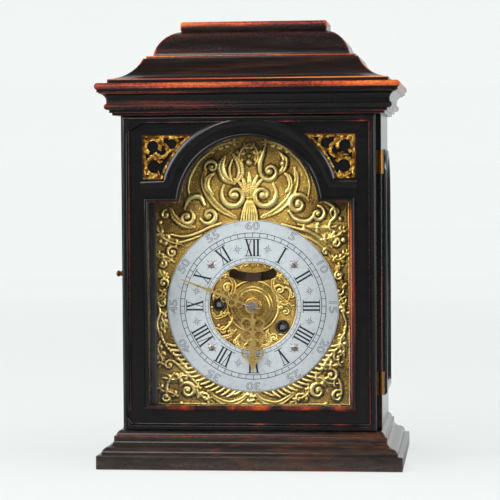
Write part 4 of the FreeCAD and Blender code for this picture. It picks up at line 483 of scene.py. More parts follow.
# %% Run a section round an outline
def run_moulding(mesh, outline, points, place, closed=True, cap=False):
    """Pulls the section's points round the outline, one ring of edges at a time."""
    worn = mesh.verts.layers.float.get("wear") or mesh.verts.layers.float.new("wear")
    step, height, wear = points[0]
    ring = [mesh.verts.new(place(*corner, height)) for corner in outline(step)]
    for vert in ring:
        vert[worn] = wear
    edges = [mesh.edges.new((ring[n], ring[(n + 1) % len(ring)])) for n in range(len(ring))]
    first_edges = edges
    for step, height, wear in points[1:]:
        pulled = bmesh.ops.extrude_edge_only(mesh, edges=edges)["geom"]
        fresh = {item for item in pulled if isinstance(item, bmesh.types.BMVert)}
        edges = [item for item in pulled if isinstance(item, bmesh.types.BMEdge)
                 and item.verts[0] in fresh and item.verts[1] in fresh]
        partner = {edge.other_vert(vert): vert for vert in fresh
                   for edge in vert.link_edges if edge.other_vert(vert) not in fresh}
        ring = [partner[vert] for vert in ring]
        for vert, corner in zip(ring, outline(step)):
            vert.co = place(*corner, height)
            vert[worn] = wear
    if closed:
        bmesh.ops.bridge_loops(mesh, edges=edges + first_edges)
    if cap:
        bmesh.ops.contextual_create(mesh, geom=edges)
        bmesh.ops.contextual_create(mesh, geom=first_edges)


print("moulding plane ready")

# %% [markdown]
# Most mouldings here run round the case itself, so its plan comes next, with each corner
# slightly flattened where the mitre is worn. Rules then rub chosen places further.

# %% The plan of the case and its worn places
def rubbed_where(mesh, rule):
    """Sets the wear again from the place of each point and the wear it has."""
    worn = mesh.verts.layers.float["wear"]
    for vert in mesh.verts:
        vert[worn] = rule(vert.co / MM, vert[worn])


def level(x, y, height):
    """Places a moulding that runs round the case: its outline is a plan."""
    return (x * MM, y * MM, height * MM)


def block_plan(step):
    """The plan of the plinth, stepped in all round."""
    wide, deep, arris = CASE_HALF_WIDTH - step, CASE_HALF_DEPTH - step, 2.2
    quarter = [(wide, -deep), (wide, arris - deep), (wide, deep - arris), (wide, deep),
               (wide - arris, deep), (arris - wide, deep)]
    return quarter + [(-x, -z) for x, z in quarter]


def mitre_wear(amount):
    """A rule that rubs the four mitred arrises."""
    def rule(spot, wear):
        from_side, from_front = CASE_HALF_WIDTH - abs(spot.x), CASE_HALF_DEPTH - abs(spot.y)
        on_mitre = abs(from_side - from_front) < 0.6
        return max(wear, amount) if on_mitre else wear
    return rule


print("the plan of the case has", len(block_plan(0)), "corners")

# %% [markdown]
# ## Plinth, cornice and the stepped caddy top
# Each of these is one section mitred round four corners. The sections are those of the
# construction model, in millimetres, with eased arrises. Dust and hands reach the big
# round of the cornice and the lips of the caddy first, so those carry the most wear.

# %% Run the case mouldings
def case_moulding(name, node, material, mitre, points, *bands, closed=True):
    """One section mitred round the case: a closed ring, or a capped solid block."""
    mesh = bmesh.new()
    run_moulding(mesh, block_plan, banded(points, *bands), level, closed, not closed)
    rubbed_where(mesh, mitre_wear(mitre))
    return finished(name, mesh, material, "case", [node])


plinth_piece = case_moulding(
    "plinth_moulding_run", "plinth_moulding", wood_figured, 0.34, eased(section(
        (19, 0.5), (0.6, 0.5), (0, 1.1), (0, 12.5), (0.45, 13.55, 1.5, 14), (4.5, 14),
        (5.9, 18.8, 9.75, 21), (13.6, 23.2, 15, 28), (15, 31), (17, 31),
        (18.15, 34.1, 20.4, 35.9), (20.5, 35.9), (20.5, 1)), 0.6, wear=0.55))
cornice_piece = case_moulding(
    "cornice_moulding_run", "cornice_moulding", wood_moulded, 0.40, eased(section(
        (20.5, 336), (16, 335.5), (16, 338), (13.5, 338), (13.5, 340.7), (11.8, 340.7),
        (9.1, 343.7, 11.2, 346.7), (11.2, 348.7), (9.5, 353.7, 5, 356.1), (5, 357.1),
        (3.3, 357.1), (3.3, 359.5), (1.3, 362.5, 3.3, 366), (20.5, 366)), 0.45, wear=0.5),
    (360.6, 365.5, 0.66), (346, 349, 0.20))
caddy_piece = case_moulding(
    "caddy_sweep", "caddy_lower", wood_brown, 0.55, eased(section(
        (60, 366.05), (12, 366.05), (12, 369), (12.3, 369.7, 13, 370), (31, 376.8, 42, 390.5),
        (44.5, 390.5), (44.5, 393), (60, 393)), 0.4, wear=0.3),
    (369.2, 370.1, 0.78), (392.3, 393, 0.74), closed=False)
dome_piece = case_moulding(
    "caddy_dome", "caddy_upper", wood_brown, 0.62, eased(section(
        (80, 393.05), (50.5, 393.05), (50.5, 394), (58.3, 408.7, 75, 417.5), (80, 417.5)),
        0.4, wear=0.3), (395, 416, 0.24), closed=False)
cap_piece = case_moulding(
    "caddy_cap_board", "caddy_cap", wood_brown, 0.74, eased(section(
        (80, 417.55), (74.6, 417.55), (74, 418.7, 73.8, 419.9), (73.8, 424.6),
        (74.5, 426.3, 76.2, 427), (85, 427)), 0.5, wear=0.6), (423.2, 426.9, 0.6),
    closed=False)
print("case mouldings:", [len(piece.data.polygons) for piece in (
    plinth_piece, cornice_piece, caddy_piece, dome_piece, cap_piece)])

# %% [markdown]
# ## Flat members: rails, panels and frames
# The remaining case members are flat boards, and the construction model already has their
# exact shape. Its mesh is loose triangles though, so we copy it, join it into clean
# panels, and ease the arrises with a small bevel. The new bevel faces get the wear.

# %% Copies of construction pieces with eased arrises
def softened(name, node, material, body, ease, wear=0.36, sharper=50):
    mesh = bmesh.new()
    mesh.from_mesh(nodes[node].data)
    worn = mesh.faces.layers.float.new("wear")
    bmesh.ops.remove_doubles(mesh, verts=mesh.verts[:], dist=0.000002)
    bmesh.ops.dissolve_limit(mesh, angle_limit=math.radians(1), verts=mesh.verts[:],
                             edges=mesh.edges[:])
    corners = [edge for edge in mesh.edges if len(edge.link_faces) == 2
               and edge.calc_face_angle(0) > math.radians(sharper)]
    made = bmesh.ops.bevel(mesh, geom=corners, offset=ease * MM, segments=2,
                           profile=0.5, affect="EDGES", clamp_overlap=True)
    for face in made["faces"]:
        face[worn] = wear
    piece = finished(name, mesh, material, body, [node])
    piece.modifiers.new("even shading", "WEIGHTED_NORMAL").keep_sharp = True
    return piece


boards = [
    ("left_side_board", "side_panel_left", wood_upright, 0.5),
    ("right_side_board", "side_panel_right", wood_upright, 0.5),
    ("side_window_mouldings", "side_mouldings", wood_upright, 0.35),
    ("top_board_eased", "top_board", wood_across, 0.4),
    ("rear_rail_eased", "rear_rail", wood_across, 0.4),
    ("door_sill_eased", "door_sill", wood_across, 0.3),
    ("base_board_eased", "base_board", wood_across, 0.3),
]
for name, node, material, ease in boards:
    softened(name, node, material, "case", ease)
softened("front_door_frame", "door_frame", wood_across, "front_door", 0.4)
softened("corner_frets_filed", "spandrel_frets", fret_brass, "front_door", 0.7)
softened("rear_door_frame_eased", "rear_door_frame", wood_upright, "rear_door",
         0.5)
print(len(boards) + 3, "flat members eased")

# %% [markdown]
# ## Front door mouldings
# Two mouldings stand on the face of the door: one round its edge, and one that follows
# the arched opening. The arch is drawn from its own centre, so one outline function gives
# the corners for any step outward.

# %% Run the door mouldings
def door_face(x, z, height):
    """Places a moulding on the front of the door: height stands off towards us."""
    return (x * MM, (-80.5 - height) * MM, z * MM)


def door_edge(step):
    wide, foot, head = 120 - step, 36.6 + step, 334.7 - step
    return divided([(-wide, foot), (wide, foot), (wide, head), (-wide, head)], 12)


def divided(corners, length):
    """Adds points along the long sides, so that wear can change along them."""
    points = []
    for start, end in zip(corners, corners[1:] + corners[:1]):
        span = math.dist(start, end)
        count = max(1, round(span / length)) if span > 3 * length else 1
        points += [(start[0] + (end[0] - start[0]) * n / count,
                    start[1] + (end[1] - start[1]) * n / count) for n in range(count)]
    return points


def arch_line(radius, foot_height, bends):
    """Points on the arch from its right foot to its left one."""
    foot = math.asin((foot_height - ARCH_CENTRE) / radius)
    angles = [foot + (math.pi - 2 * foot) * n / bends for n in range(bends + 1)]
    return [(radius * math.cos(angle), ARCH_CENTRE + radius * math.sin(angle))
            for angle in angles]


def sight_line(grow, half=96, sill=60, shoulder=253, radius=66, sides=16):
    """The outline of the glass: two upright sides and the arch over them."""
    half, sill, shoulder = half + grow, sill - grow, shoulder + grow
    right_side = [(half, sill + (shoulder - sill) * n / sides) for n in range(sides + 1)]
    left_side = [(-x, z) for x, z in reversed(right_side)]
    return right_side + arch_line(radius + grow, shoulder, 40) + left_side


edge_run = bmesh.new()
run_moulding(edge_run, door_edge, eased(section(
    (0, 0), (0, 1.7), (1.2, 3.2, 3.0, 3.3), (4.4, 2.9, 4.7, 1.4), (5.1, 1.2),
    (5.8, 2.1, 6.6, 1.4), (7, 0)), 0.25, wear=0.45), door_face)
edge_piece = finished("door_edge_run", edge_run, wood_upright, "front_door",
                      ["door_edge_moulding"])

sight_run = bmesh.new()
run_moulding(sight_run, sight_line, eased(section(
    (0.05, 0), (0.05, 2.1), (0.9, 3.1, 2.0, 3.4), (3.4, 3.0, 4.2, 1.7), (4.75, 1.2),
    (4.8, 0)), 0.25, wear=0.6), door_face)


def sight_wear(spot, wear):
    """Red shows on the inner lip: most at the right, a little at the left and below."""
    from_arch_centre = math.hypot(spot.x, spot.z - ARCH_CENTRE)
    inner = abs(spot.x) < 97.6 if spot.z < 250 else from_arch_centre < 67.2
    if spot.z < 61.5:
        return 0.42
    if spot.z < 250 and spot.x > 90:
        return 0.50 if inner else 0.2
    if spot.z < 250 and spot.x < -90:
        return 0.48 if inner and spot.y > -82.6 else 0.05
    if 251 < spot.z < 255 and abs(spot.x) > 64:
        return 0.52 if spot.z < 253.6 else 0.1
    return 0.46 if inner and spot.y > -82.8 and spot.z > 290 else 0.04


rubbed_where(sight_run, sight_wear)
sight_piece = finished("door_sight_run", sight_run, wood_upright, "front_door",
                       ["door_sight_moulding"])
print("door mouldings:", len(edge_piece.data.polygons), len(sight_piece.data.polygons))

# %% [markdown]
# Where the door meets the two corner frets its edge is rounded over. That soft roll is
# what catches the side light, so it gets a flattened bead of its own: a curve with some
# thickness, turned into a mesh, pressed flat and then brought to the face of the door.

# %% Roll the edge of the two corner openings
def rolled_edge(reach=81.6, foot=270.4, outer=103.0, thick=5.2, flat=0.50, face=-80.2):
    path = [(outer, foot)] + arch_line(reach, foot, 48) + [(-outer, foot)]
    curve = bpy.data.curves.new("rolled_edge", "CURVE")
    curve.dimensions, curve.bevel_depth, curve.use_fill_caps = "3D", thick * MM, True
    curve.bevel_resolution = 3
    spline = curve.splines.new("POLY")
    spline.points.add(len(path) - 1)
    for point, (x, z) in zip(spline.points, path):
        point.co = (x * MM, 0, z * MM, 1)
    holder = bpy.data.objects.new("rolled_edge", curve)
    bpy.context.scene.collection.objects.link(holder)
    bpy.context.view_layer.update()
    rolled = bpy.data.meshes.new_from_object(holder.evaluated_get(
        bpy.context.evaluated_depsgraph_get()))
    rolled.transform(Matrix.Translation((0, face * MM, 0)) @ Matrix.Diagonal((1, flat, 1, 1)))
    mesh = bmesh.new()
    mesh.from_mesh(rolled)
    for leftover, store in ((holder, bpy.data.objects), (curve, bpy.data.curves),
                            (rolled, bpy.data.meshes)):
        store.remove(leftover)
    mesh.verts.layers.float.new("wear")
    return finished("arch_rolled_edge", mesh, wood_across, "front_door")


print("rolled edge:", len(rolled_edge().data.polygons), "faces")

# %% [markdown]
# ## Chasing the dial: a sheet raised from behind
# The dial is thin brass, hammered up from behind into scrolls, leaves and flutes, then
# sharpened from the front and matted in between. We treat it as a fine grid whose points
# all get a height. Each scroll is a smooth curve with a width, and points near the curve
# rise by its section: a round rib, a hollow gouge with two rims, a veined leaf or a cord.

# %% Heights from strokes
def four_round(height):
    """The sum of the four neighbours of each point."""
    wide = np.pad(height, 1, mode="edge")
    return wide[:-2, 1:-1] + wide[2:, 1:-1] + wide[1:-1, :-2] + wide[1:-1, 2:]


class Chasing:
    """A sheet of brass as an array of heights, in millimetres."""

    def __init__(self, low, high, cell):
        self.columns = round((high[0] - low[0]) / cell)
        self.rows = round((high[1] - low[1]) / cell)
        self.low, self.high = low, high
        self.x = np.linspace(low[0], high[0], self.columns + 1)[None, :]
        self.z = np.linspace(low[1], high[1], self.rows + 1)[:, None]
        self.height = np.zeros((self.rows + 1, self.columns + 1))

    def window(self, points, margin):
        """The part of the arrays that lies near some points."""
        step_x = (self.high[0] - self.low[0]) / self.columns
        step_z = (self.high[1] - self.low[1]) / self.rows
        left = int(max(0, (points[:, 0].min() - margin - self.low[0]) / step_x))
        right_end = int(min(self.columns + 1,
                            (points[:, 0].max() + margin - self.low[0]) / step_x + 2))
        foot = int(max(0, (points[:, 1].min() - margin - self.low[1]) / step_z))
        head = int(min(self.rows + 1,
                       (points[:, 1].max() + margin - self.low[1]) / step_z + 2))
        return slice(foot, head), slice(left, right_end)

    def raise_to(self, rows, columns, height):
        patch = self.height[rows, columns]
        np.maximum(patch, height, out=patch)

    def stroke(self, points, wide, tall, kind="rib"):
        """One scroll: widths and heights run from the first number to the last."""
        line, along = smooth_line(points)
        widths = np.interp(along, np.linspace(0, 1, len(wide)), wide)
        talls = np.interp(along, np.linspace(0, 1, len(tall)), tall)
        rows, columns = self.window(line, max(wide))
        if rows.stop <= rows.start or columns.stop <= columns.start:
            return
        x, z = self.x[:, columns], self.z[rows, :]
        best = np.full((z.shape[0], x.shape[1]), 9.0)
        tall_here = np.zeros_like(best)
        side = np.zeros_like(best)
        step = np.zeros_like(best)
        for n in range(len(line) - 1):
            (ax, az), (bx, bz) = line[n], line[n + 1]
            dx, dz = bx - ax, bz - az
            t = np.clip(((x - ax) * dx + (z - az) * dz) / (dx * dx + dz * dz), 0, 1)
            gap_x, gap_z = x - ax - t * dx, z - az - t * dz
            off = np.hypot(gap_x, gap_z) / max(widths[n], 0.05)
            nearer = off < best
            best[nearer] = off[nearer]
            tall_here[nearer] = talls[n]
            side[nearer] = np.sign(dx * gap_z - dz * gap_x)[nearer]
            step[nearer] = along[n]
        inside = best < 1
        rib = np.sqrt(np.clip(1 - best**2, 0, 1))
        if kind == "gouge":
            rib = np.clip((1 - best) * 5, 0, 1) * (0.38 + 0.62 * best**2)
        elif kind == "leaf":
            vein = 1 - 0.55 * np.exp(-(best / 0.14)**2)
            ribs = 0.86 + 0.14 * np.cos(step * 70 + side * best * 2)
            rib = rib * vein * ribs
        elif kind == "cord":
            rib = rib * (0.72 + 0.28 * np.cos(step * 90))
        self.raise_to(rows, columns, np.where(inside, rib * tall_here, 0))

    def boss(self, centre, radius, tall, hollow=0.0):
        """A round bead; hollow gives it a sunk middle."""
        rows, columns = self.window(np.array([centre]), radius)
        off = np.hypot(self.x[:, columns] - centre[0], self.z[rows, :] - centre[1]) / radius
        dome = np.sqrt(np.clip(1 - off**2, 0, 1))
        dome = dome - hollow * np.clip(1 - (off / 0.55)**2, 0, 1)
        self.raise_to(rows, columns, np.where(off < 1, dome * tall, 0))

    def punched(self, depth, seed=5):
        """The matted ground: a fine grain that fades where the metal stands high."""
        grain = np.random.default_rng(seed).normal(0, 1, self.height.shape)
        grain = (four_round(grain) + 2 * grain) / 3.2
        self.height = np.clip(self.height + depth * grain
                              * np.clip(1.15 - self.height / 1.6, 0.12, 1), 0, None)

    def softened(self, times=1):
        for _ in range(times):
            self.height = (four_round(self.height) + 4 * self.height) / 8


print("chasing tools ready")

# %% [markdown]
# A designer's curve is fixed by a few points, and the pencil runs softly through them. We
# do the same with a cubic between each two points. The ornament was drawn on a sheet of
# its own, with its own scale, so one function brings a place from there to the dial.

# %% Smooth curves, and places on the drawing
def smooth_line(points, steps=9):
    """A smooth curve through the points, and how far along it each sample lies."""
    p = np.array(points, float)
    if len(p) == 2:
        p = np.array([p[0], (p[0] + p[1]) / 2, p[1]])
    p = np.vstack([2 * p[0] - p[1], p, 2 * p[-1] - p[-2]])
    out = []
    for n in range(1, len(p) - 2):
        for t in np.linspace(0, 1, steps, endpoint=False):
            a, b, c, d = p[n - 1:n + 3]
            out.append(0.5 * (2 * b + (c - a) * t + (2 * a - 5 * b + 4 * c - d) * t * t
                              + (3 * b - a - 3 * c + d) * t**3))
    out.append(p[-2])
    line = np.array(out)
    gone = np.concatenate([[0], np.cumsum(np.hypot(*np.diff(line, axis=0).T))])
    return line, gone / gone[-1]


DRAWING_SCALE = 0.956


def dial_point(across, down):
    """Reads a place on the dial as counted in the drawing of its ornament."""
    return (across - 253.0) * DRAWING_SCALE, DIAL_CENTRE + (306.4 - down) * DRAWING_SCALE


print("the arch's crown in the drawing lies at", dial_point(253, 135))

# %% [markdown]
# ## The drawing of the ornament
# The ornament is the usual baroque stock: a fluted vase with petals in the arch, a pair
# of great C-scrolls beside it, acanthus sprays at the sides, and plumes in the lower
# corners. Plain strokes come first, each with its kind, its half-widths and heights from
# start to end, and its path.

# %% Strokes of the outer dial
SCROLLS = [
    # the pair of great C-scrolls beside the vase
    ("gouge", (1.4, 3.2, 3.4, 1.6), (1.4, 2.0, 2.0, 1.4),
     [(206, 168), (203, 179), (206, 190), (213, 201), (223, 210), (236, 217)]),
    ("gouge", (1.4, 3.2, 3.4, 1.6), (1.4, 2.0, 2.0, 1.4),
     [(296, 168), (298, 179), (295, 190), (288, 201), (278, 210), (263, 217)]),
    # tulip leaf and S-curl above the volutes
    ("leaf", (1.6, 4.4, 4.2, 1.2), (1.2, 2.4, 2.4, 1.0),
     [(235, 183), (225, 177), (221, 166), (225, 156)]),
    ("leaf", (1.4, 3.8, 3.8, 1.0), (1.2, 2.6, 2.4, 1.0),
     [(235, 183), (241, 174), (240, 163), (234, 154)]),
    ("rib", (0.8, 1.6, 0.6), (1.6, 3.0, 1.6), [(232, 180), (230, 169), (233, 159)]),
    ("rib", (1.0, 2.6, 2.8, 2.2), (1.2, 2.4, 2.4, 2.0),
     [(267, 145), (264, 154), (261, 163), (261, 171)]),
    ("leaf", (1.2, 3.2, 3.4, 0.8), (1.2, 2.4, 2.4, 1.0),
     [(279, 174), (285, 168), (287, 160), (282, 153)]),
    ("leaf", (1.2, 3.4, 3.0, 0.8), (1.2, 2.2, 2.0, 1.0),
     [(213, 194), (207, 187), (208, 178), (214, 173)]),
    ("leaf", (1.2, 3.2, 3.0, 0.8), (1.2, 2.2, 2.0, 1.0),
     [(287, 192), (292, 186), (291, 178), (286, 173)]),
    # sprays beyond the arch's feet
    ("rib", (1.0, 2.4, 2.6, 1.6), (1.2, 2.2, 2.2, 1.6),
     [(184, 208), (189, 198), (199, 196), (204, 204)]),
    ("rib", (1.2, 2.6, 2.6, 1.2), (1.4, 2.4, 2.4, 1.2),
     [(290, 211), (297, 219), (309, 221), (317, 213)]),
    ("rib", (1.0, 2.2, 2.2, 1.0), (1.2, 2.2, 2.0, 1.0),
     [(327, 202), (335, 207), (337, 216), (331, 222)]),
    ("leaf", (1.4, 3.6, 3.4, 1.0), (1.2, 2.2, 2.2, 1.0),
     [(194, 227), (183, 224), (174, 217), (170, 208)]),
    # stems that hug the ring at the shoulders
    ("rib", (0.8, 1.7, 1.2), (1.0, 1.8, 1.0),
     [(169, 234), (183, 236), (196, 233), (209, 227), (221, 223)]),
    ("rib", (0.8, 1.7, 1.2), (1.0, 1.8, 1.0), [(283, 224), (297, 228), (311, 232), (326, 241)]),
    ("rib", (0.7, 1.3, 0.8), (0.9, 1.5, 0.9), [(164, 242), (178, 242), (190, 239), (201, 235)]),
    ("rib", (0.7, 1.3, 0.8), (0.9, 1.5, 0.9), [(300, 234), (314, 240), (326, 249), (332, 258)]),
    # border stems inside the arch
    ("rib", (0.7, 1.3, 0.7), (0.8, 1.5, 0.8),
     [(190, 201), (188, 186), (192, 172), (201, 159), (214, 149)]),
    ("rib", (0.7, 1.3, 0.7), (0.8, 1.5, 0.8),
     [(309, 198), (311, 184), (307, 171), (299, 159), (287, 149)]),
    # bead-and-cable lines beside the ring
    ("cord", (0.8, 1.6, 1.8), (1.2, 2.2, 2.2),
     [(159, 326), (160, 338), (166, 349), (175, 358), (184, 368)]),
    ("cord", (0.8, 1.6, 1.8), (1.2, 2.2, 2.2),
     [(345, 327), (343, 339), (337, 350), (328, 360), (322, 370)]),
    ("rib", (0.8, 1.6, 0.9), (1.0, 2.0, 1.0), [(155, 300), (158, 312), (155, 324), (158, 338)]),
    ("rib", (0.8, 1.6, 0.9), (1.0, 2.0, 1.0), [(347, 300), (344, 312), (347, 324), (344, 337)]),
    # wave along the foot
    ("gouge", (1.2, 2.6, 2.6, 1.4), (1.2, 2.2, 2.2, 1.2),
     [(207, 392), (215, 400), (228, 405), (241, 401), (248, 394)]),
    ("gouge", (1.2, 2.6, 2.6, 1.4), (1.2, 2.2, 2.2, 1.2),
     [(297, 391), (288, 399), (276, 405), (262, 402), (254, 394)]),
    ("rib", (0.7, 1.4, 0.8), (0.9, 1.7, 0.9), [(226, 398), (236, 395), (243, 390)]),
    ("rib", (0.7, 1.4, 0.8), (0.9, 1.7, 0.9), [(277, 398), (267, 395), (259, 390)]),
    ("rib", (0.8, 1.8, 0.8), (0.9, 1.9, 0.9), [(172, 374), (166, 383), (164, 394), (168, 403)]),
    ("rib", (0.8, 1.8, 0.8), (0.9, 1.9, 0.9), [(333, 374), (340, 382), (342, 393), (339, 402)]),
]
print(len(SCROLLS), "strokes")

# %% [markdown]
# Curls wind inward to a bead. Each has its centre and radius, the direction in which it
# starts, how far it turns in degrees, and its half-width. Small round beads stand alone.

# %% Curls and beads of the outer dial
CURLS = [
    ((235, 195), 15.0, 135, 430, 3.0), ((264, 195), 15.0, 45, -430, 3.0),
    ((212, 166), 7.5, 200, -400, 2.2), ((271, 171), 11.0, 150, 440, 2.5),
    ((209, 215), 9.5, 200, 430, 2.6), ((186, 217), 8.5, 60, -430, 2.5),
    ((299, 204), 11.5, 20, 450, 2.8), ((319, 214), 8.5, 90, -420, 2.3),
    ((337, 212), 6.0, 240, -380, 1.7), ((165, 214), 5.0, 80, 340, 1.4),
    ((171, 252), 6.5, 40, 420, 2.0), ((337, 243), 6.0, 150, -420, 1.9),
    ((161, 264), 5.0, 100, -380, 1.5), ((327, 252), 4.5, 20, 360, 1.4),
    ((162, 283), 5.5, 300, 400, 1.6), ((340, 276), 5.0, 90, 420, 1.6),
    ((340, 292), 4.5, 30, -360, 1.4), ((161, 303), 4.5, 150, 380, 1.4),
    ((343, 311), 4.5, 200, -380, 1.4), ((186, 392), 9.0, 150, -460, 2.5),
    ((318, 392), 9.0, 30, 460, 2.5), ((332, 376), 7.0, 120, -430, 2.1),
    ((167, 366), 5.0, 60, 400, 1.6), ((338, 397), 6.5, 60, 420, 2.0),
    ((163, 399), 5.0, 10, -380, 1.6), ((204, 399), 5.0, 170, -360, 1.5),
    ((299, 399), 5.0, 10, 360, 1.5), ((338, 358), 4.5, 90, 360, 1.4),
]
BEADS = [
    ((250, 155), 2.2, 2.0), ((250, 162), 3.4, 2.4), ((284, 163), 3.4, 3.0), ((271, 171), 3.0, 2.8),
    ((250, 181), 2.4, 2.2), ((342, 219), 2.4, 2.0), ((159, 222), 2.2, 1.8), ((159, 241), 2.0, 1.8),
    ((345, 240), 3.2, 2.6), ((251, 384), 1.8, 1.8), ((179, 405), 2.0, 1.6), ((326, 405), 2.0, 1.6),
]
print(len(CURLS), "curls and", len(BEADS), "beads")

# %% [markdown]
# Acanthus leaves fill what is left, with lobes on both sides of a stem. Each has its
# stem, the reach of its lobes, how many there are, and its height.

# %% Leaves of the outer dial
LEAVES = [
    ([(243, 164), (240, 157), (243, 148), (250, 143)], 2.6, 5, 1.6),
    ([(256, 164), (259, 157), (257, 148), (250, 143)], 2.6, 5, 1.6),
    ([(208, 153), (217, 146), (228, 142), (239, 141)], 2.8, 7, 1.4),
    ([(293, 153), (285, 146), (274, 142), (262, 141)], 2.8, 7, 1.4),
    ([(299, 224), (312, 227), (325, 228), (338, 226)], 3.2, 6, 1.8),
    ([(180, 244), (171, 242), (162, 237), (156, 228)], 3.4, 6, 2.0),
    ([(322, 240), (331, 238), (341, 234), (346, 226)], 3.4, 6, 2.0),
    ([(173, 262), (166, 257), (158, 257), (154, 250)], 2.8, 5, 1.6),
    ([(333, 256), (339, 260), (345, 257), (348, 250)], 2.8, 5, 1.6),
    ([(166, 273), (163, 278), (158, 272), (155, 278)], 2.6, 4, 1.5),
    ([(158, 290), (164, 294), (158, 300), (155, 293)], 2.6, 4, 1.5),
    ([(344, 266), (338, 268), (343, 283), (347, 287)], 2.6, 4, 1.5),
    ([(346, 297), (340, 302), (346, 310), (348, 317)], 2.6, 4, 1.5),
    ([(165, 312), (160, 318), (163, 327), (158, 333)], 2.8, 5, 1.6),
    ([(346, 333), (341, 341), (345, 350), (340, 357)], 3.0, 5, 1.8),
    ([(158, 342), (156, 351), (160, 360), (157, 369)], 3.2, 6, 1.8),
    ([(321, 372), (327, 366), (336, 366), (344, 362)], 2.8, 5, 1.8),
    ([(190, 378), (181, 377), (173, 381), (160, 379)], 3.4, 6, 2.2),
    ([(197, 384), (196, 393), (203, 399), (213, 404)], 2.8, 5, 1.8),
    ([(312, 379), (321, 379), (329, 384), (342, 384)], 3.2, 6, 2.0),
    ([(308, 385), (308, 394), (300, 400), (290, 404)], 2.8, 5, 1.8),
    ([(176, 398), (169, 394), (160, 392), (156, 385)], 2.8, 5, 1.8),
    ([(251, 405), (250, 400), (251, 395), (251, 389)], 2.8, 4, 1.8),
]
print(len(LEAVES), "leaves")

# %% [markdown]
# ## Raising the sheet
# With the drawing in place the rest is arithmetic. A curl and a leaf both turn into a few
# strokes.

# %% Curls and leaves as strokes
def drawn(path):
    return [dial_point(*point) for point in path]


def curl(sheet, centre, radius, start, turn, wide, tall=2.1):
    """A scroll that winds inward and ends in a bead."""
    middle_x, middle_z = dial_point(*centre)
    path = []
    for n in range(15):
        share = n / 14
        angle = math.radians(start + turn * share)
        reach = radius * DRAWING_SCALE * (1 - 0.74 * share**0.8)
        path.append((middle_x + reach * math.cos(angle), middle_z + reach * math.sin(angle)))
    sheet.stroke(path, (wide * 0.4, wide, wide * 0.8, wide * 0.5),
                 (tall * 0.5, tall * 0.9, tall, tall))
    sheet.boss((middle_x, middle_z), radius * 0.27, tall * 1.15)


def acanthus(sheet, path, reach, lobes, tall):
    """A leaf: lobes that point forward on both sides of a raised stem."""
    line = smooth_line(drawn(path))[0]
    reach, lobes = 1.35 * reach, max(3, round(0.5 * lobes))
    sheet.stroke(drawn(path), (reach * 0.35, reach * 0.9, reach * 0.7, 0.5),
                 (tall * 0.35, tall * 0.62, tall * 0.5, tall * 0.3), "leaf")
    for number in range(lobes):
        share = (number + 0.5) / lobes
        here = int(share * (len(line) - 1))
        run = line[min(here + 2, len(line) - 1)] - line[max(here - 2, 0)]
        run = run / np.hypot(*run)
        long = reach * (0.55 + 0.45 * math.sin(math.pi * share))
        for side in (-1, 1):
            out = np.array([-run[1], run[0]]) * side
            sheet.stroke([line[here], line[here] + out * long * 0.8 + run * long * 0.2,
                          line[here] + out * long + run * long * 0.95],
                         (long * 0.34, long * 0.46, 0.5), (tall * 0.75, tall * 0.95, tall * 0.4))
    sheet.stroke(drawn(path), (0.5, 0.8, 0.3), (tall * 1.0, tall * 1.1, tall * 0.6))


print("curls and leaves ready")

# %% [markdown]
# The vase in the arch has fluted sides and five petals. Short ribs fan out round the lower
# half of the ring, like the gadroons on a silver dish. Then all strokes go on the sheet,
# which is smoothed a little, and its ground is punched.

# %% Flutes and the outer dial
def fluting(sheet):
    """The vase, its petals, the plume and the gadroons round the foot of the ring."""
    for number in range(-3, 4):
        sheet.stroke(drawn([(250.2 + number * 1.1, 201), (250.0 + number * 2.2, 211),
                            (249.6 + number * 2.7, 221)]), (0.8, 1.15, 1.25), (1.8, 2.6, 2.2))
    for lean in (-2.4, -1.3, 0, 1.3, 2.4):
        away = abs(lean)
        sheet.stroke(drawn([(250 + lean * 0.8, 200), (250 + lean * 2.2, 190),
                            (250 + lean * 4.4, 179 + away), (250 + lean * 6.4, 172 + 2.6 * away)]),
                     (0.9, 2.0 - 0.3 * away, 2.6 - 0.3 * away, 0.9), (1.5, 2.3, 2.2, 1.3), "leaf")
    for number in range(13):
        lean = number / 12
        sheet.stroke(drawn([(199 - 17 * lean, 389 - 20 * lean), (191 - 20 * lean, 381 - 19 * lean)]),
                     (0.75, 1.0), (1.3, 1.7))
    for number in range(36):
        angle = math.radians(207 + number * 3.6)
        if abs(math.cos(angle)) < 0.2:
            continue
        lean = math.copysign(0.06, math.cos(angle))
        sheet.stroke([(reach * math.cos(angle + tilt), DIAL_CENTRE + reach * math.sin(angle + tilt))
                      for reach, tilt in ((84.5, 0), (88, lean * 0.4), (91.5, lean))],
                     (0.9, 1.5, 1.0), (1.2, 1.9, 1.0))


DIAL_HALF, DIAL_FOOT, DIAL_SHOULDER, DIAL_ARCH = 97.5, 52, 253, 71
RING_SEAT = 78


def outer_chasing():
    sheet = Chasing((-DIAL_HALF, DIAL_FOOT), (DIAL_HALF, ARCH_CENTRE + DIAL_ARCH), 0.56)
    for kind, wide, tall, path in SCROLLS:
        sheet.stroke(drawn(path), wide, tall, kind)
    fluting(sheet)
    for entry in LEAVES:
        acanthus(sheet, *entry)
    for entry in CURLS:
        curl(sheet, *entry)
    for spot, radius, tall in BEADS:
        sheet.boss(dial_point(*spot), radius * DRAWING_SCALE, tall)
    sheet.stroke([(-94, 57.2), (94, 57.2)], (0.7,), (1.2,))
    sheet.stroke([(92.9, 56), (92.9, 254)], (0.55,), (1.0,))
    sheet.softened(2)
    sheet.punched(0.14)
    return sheet


def cavity(height):
    """How deep each point lies below its neighbourhood, in millimetres."""
    wide = height
    for _ in range(6):
        wide = four_round(wide) / 4
    return np.clip(wide - height, -1, 1)


outer_sheet = outer_chasing()
print("sheet of", outer_sheet.height.shape, "points, highest",
      round(float(outer_sheet.height.max()), 2), "mm")

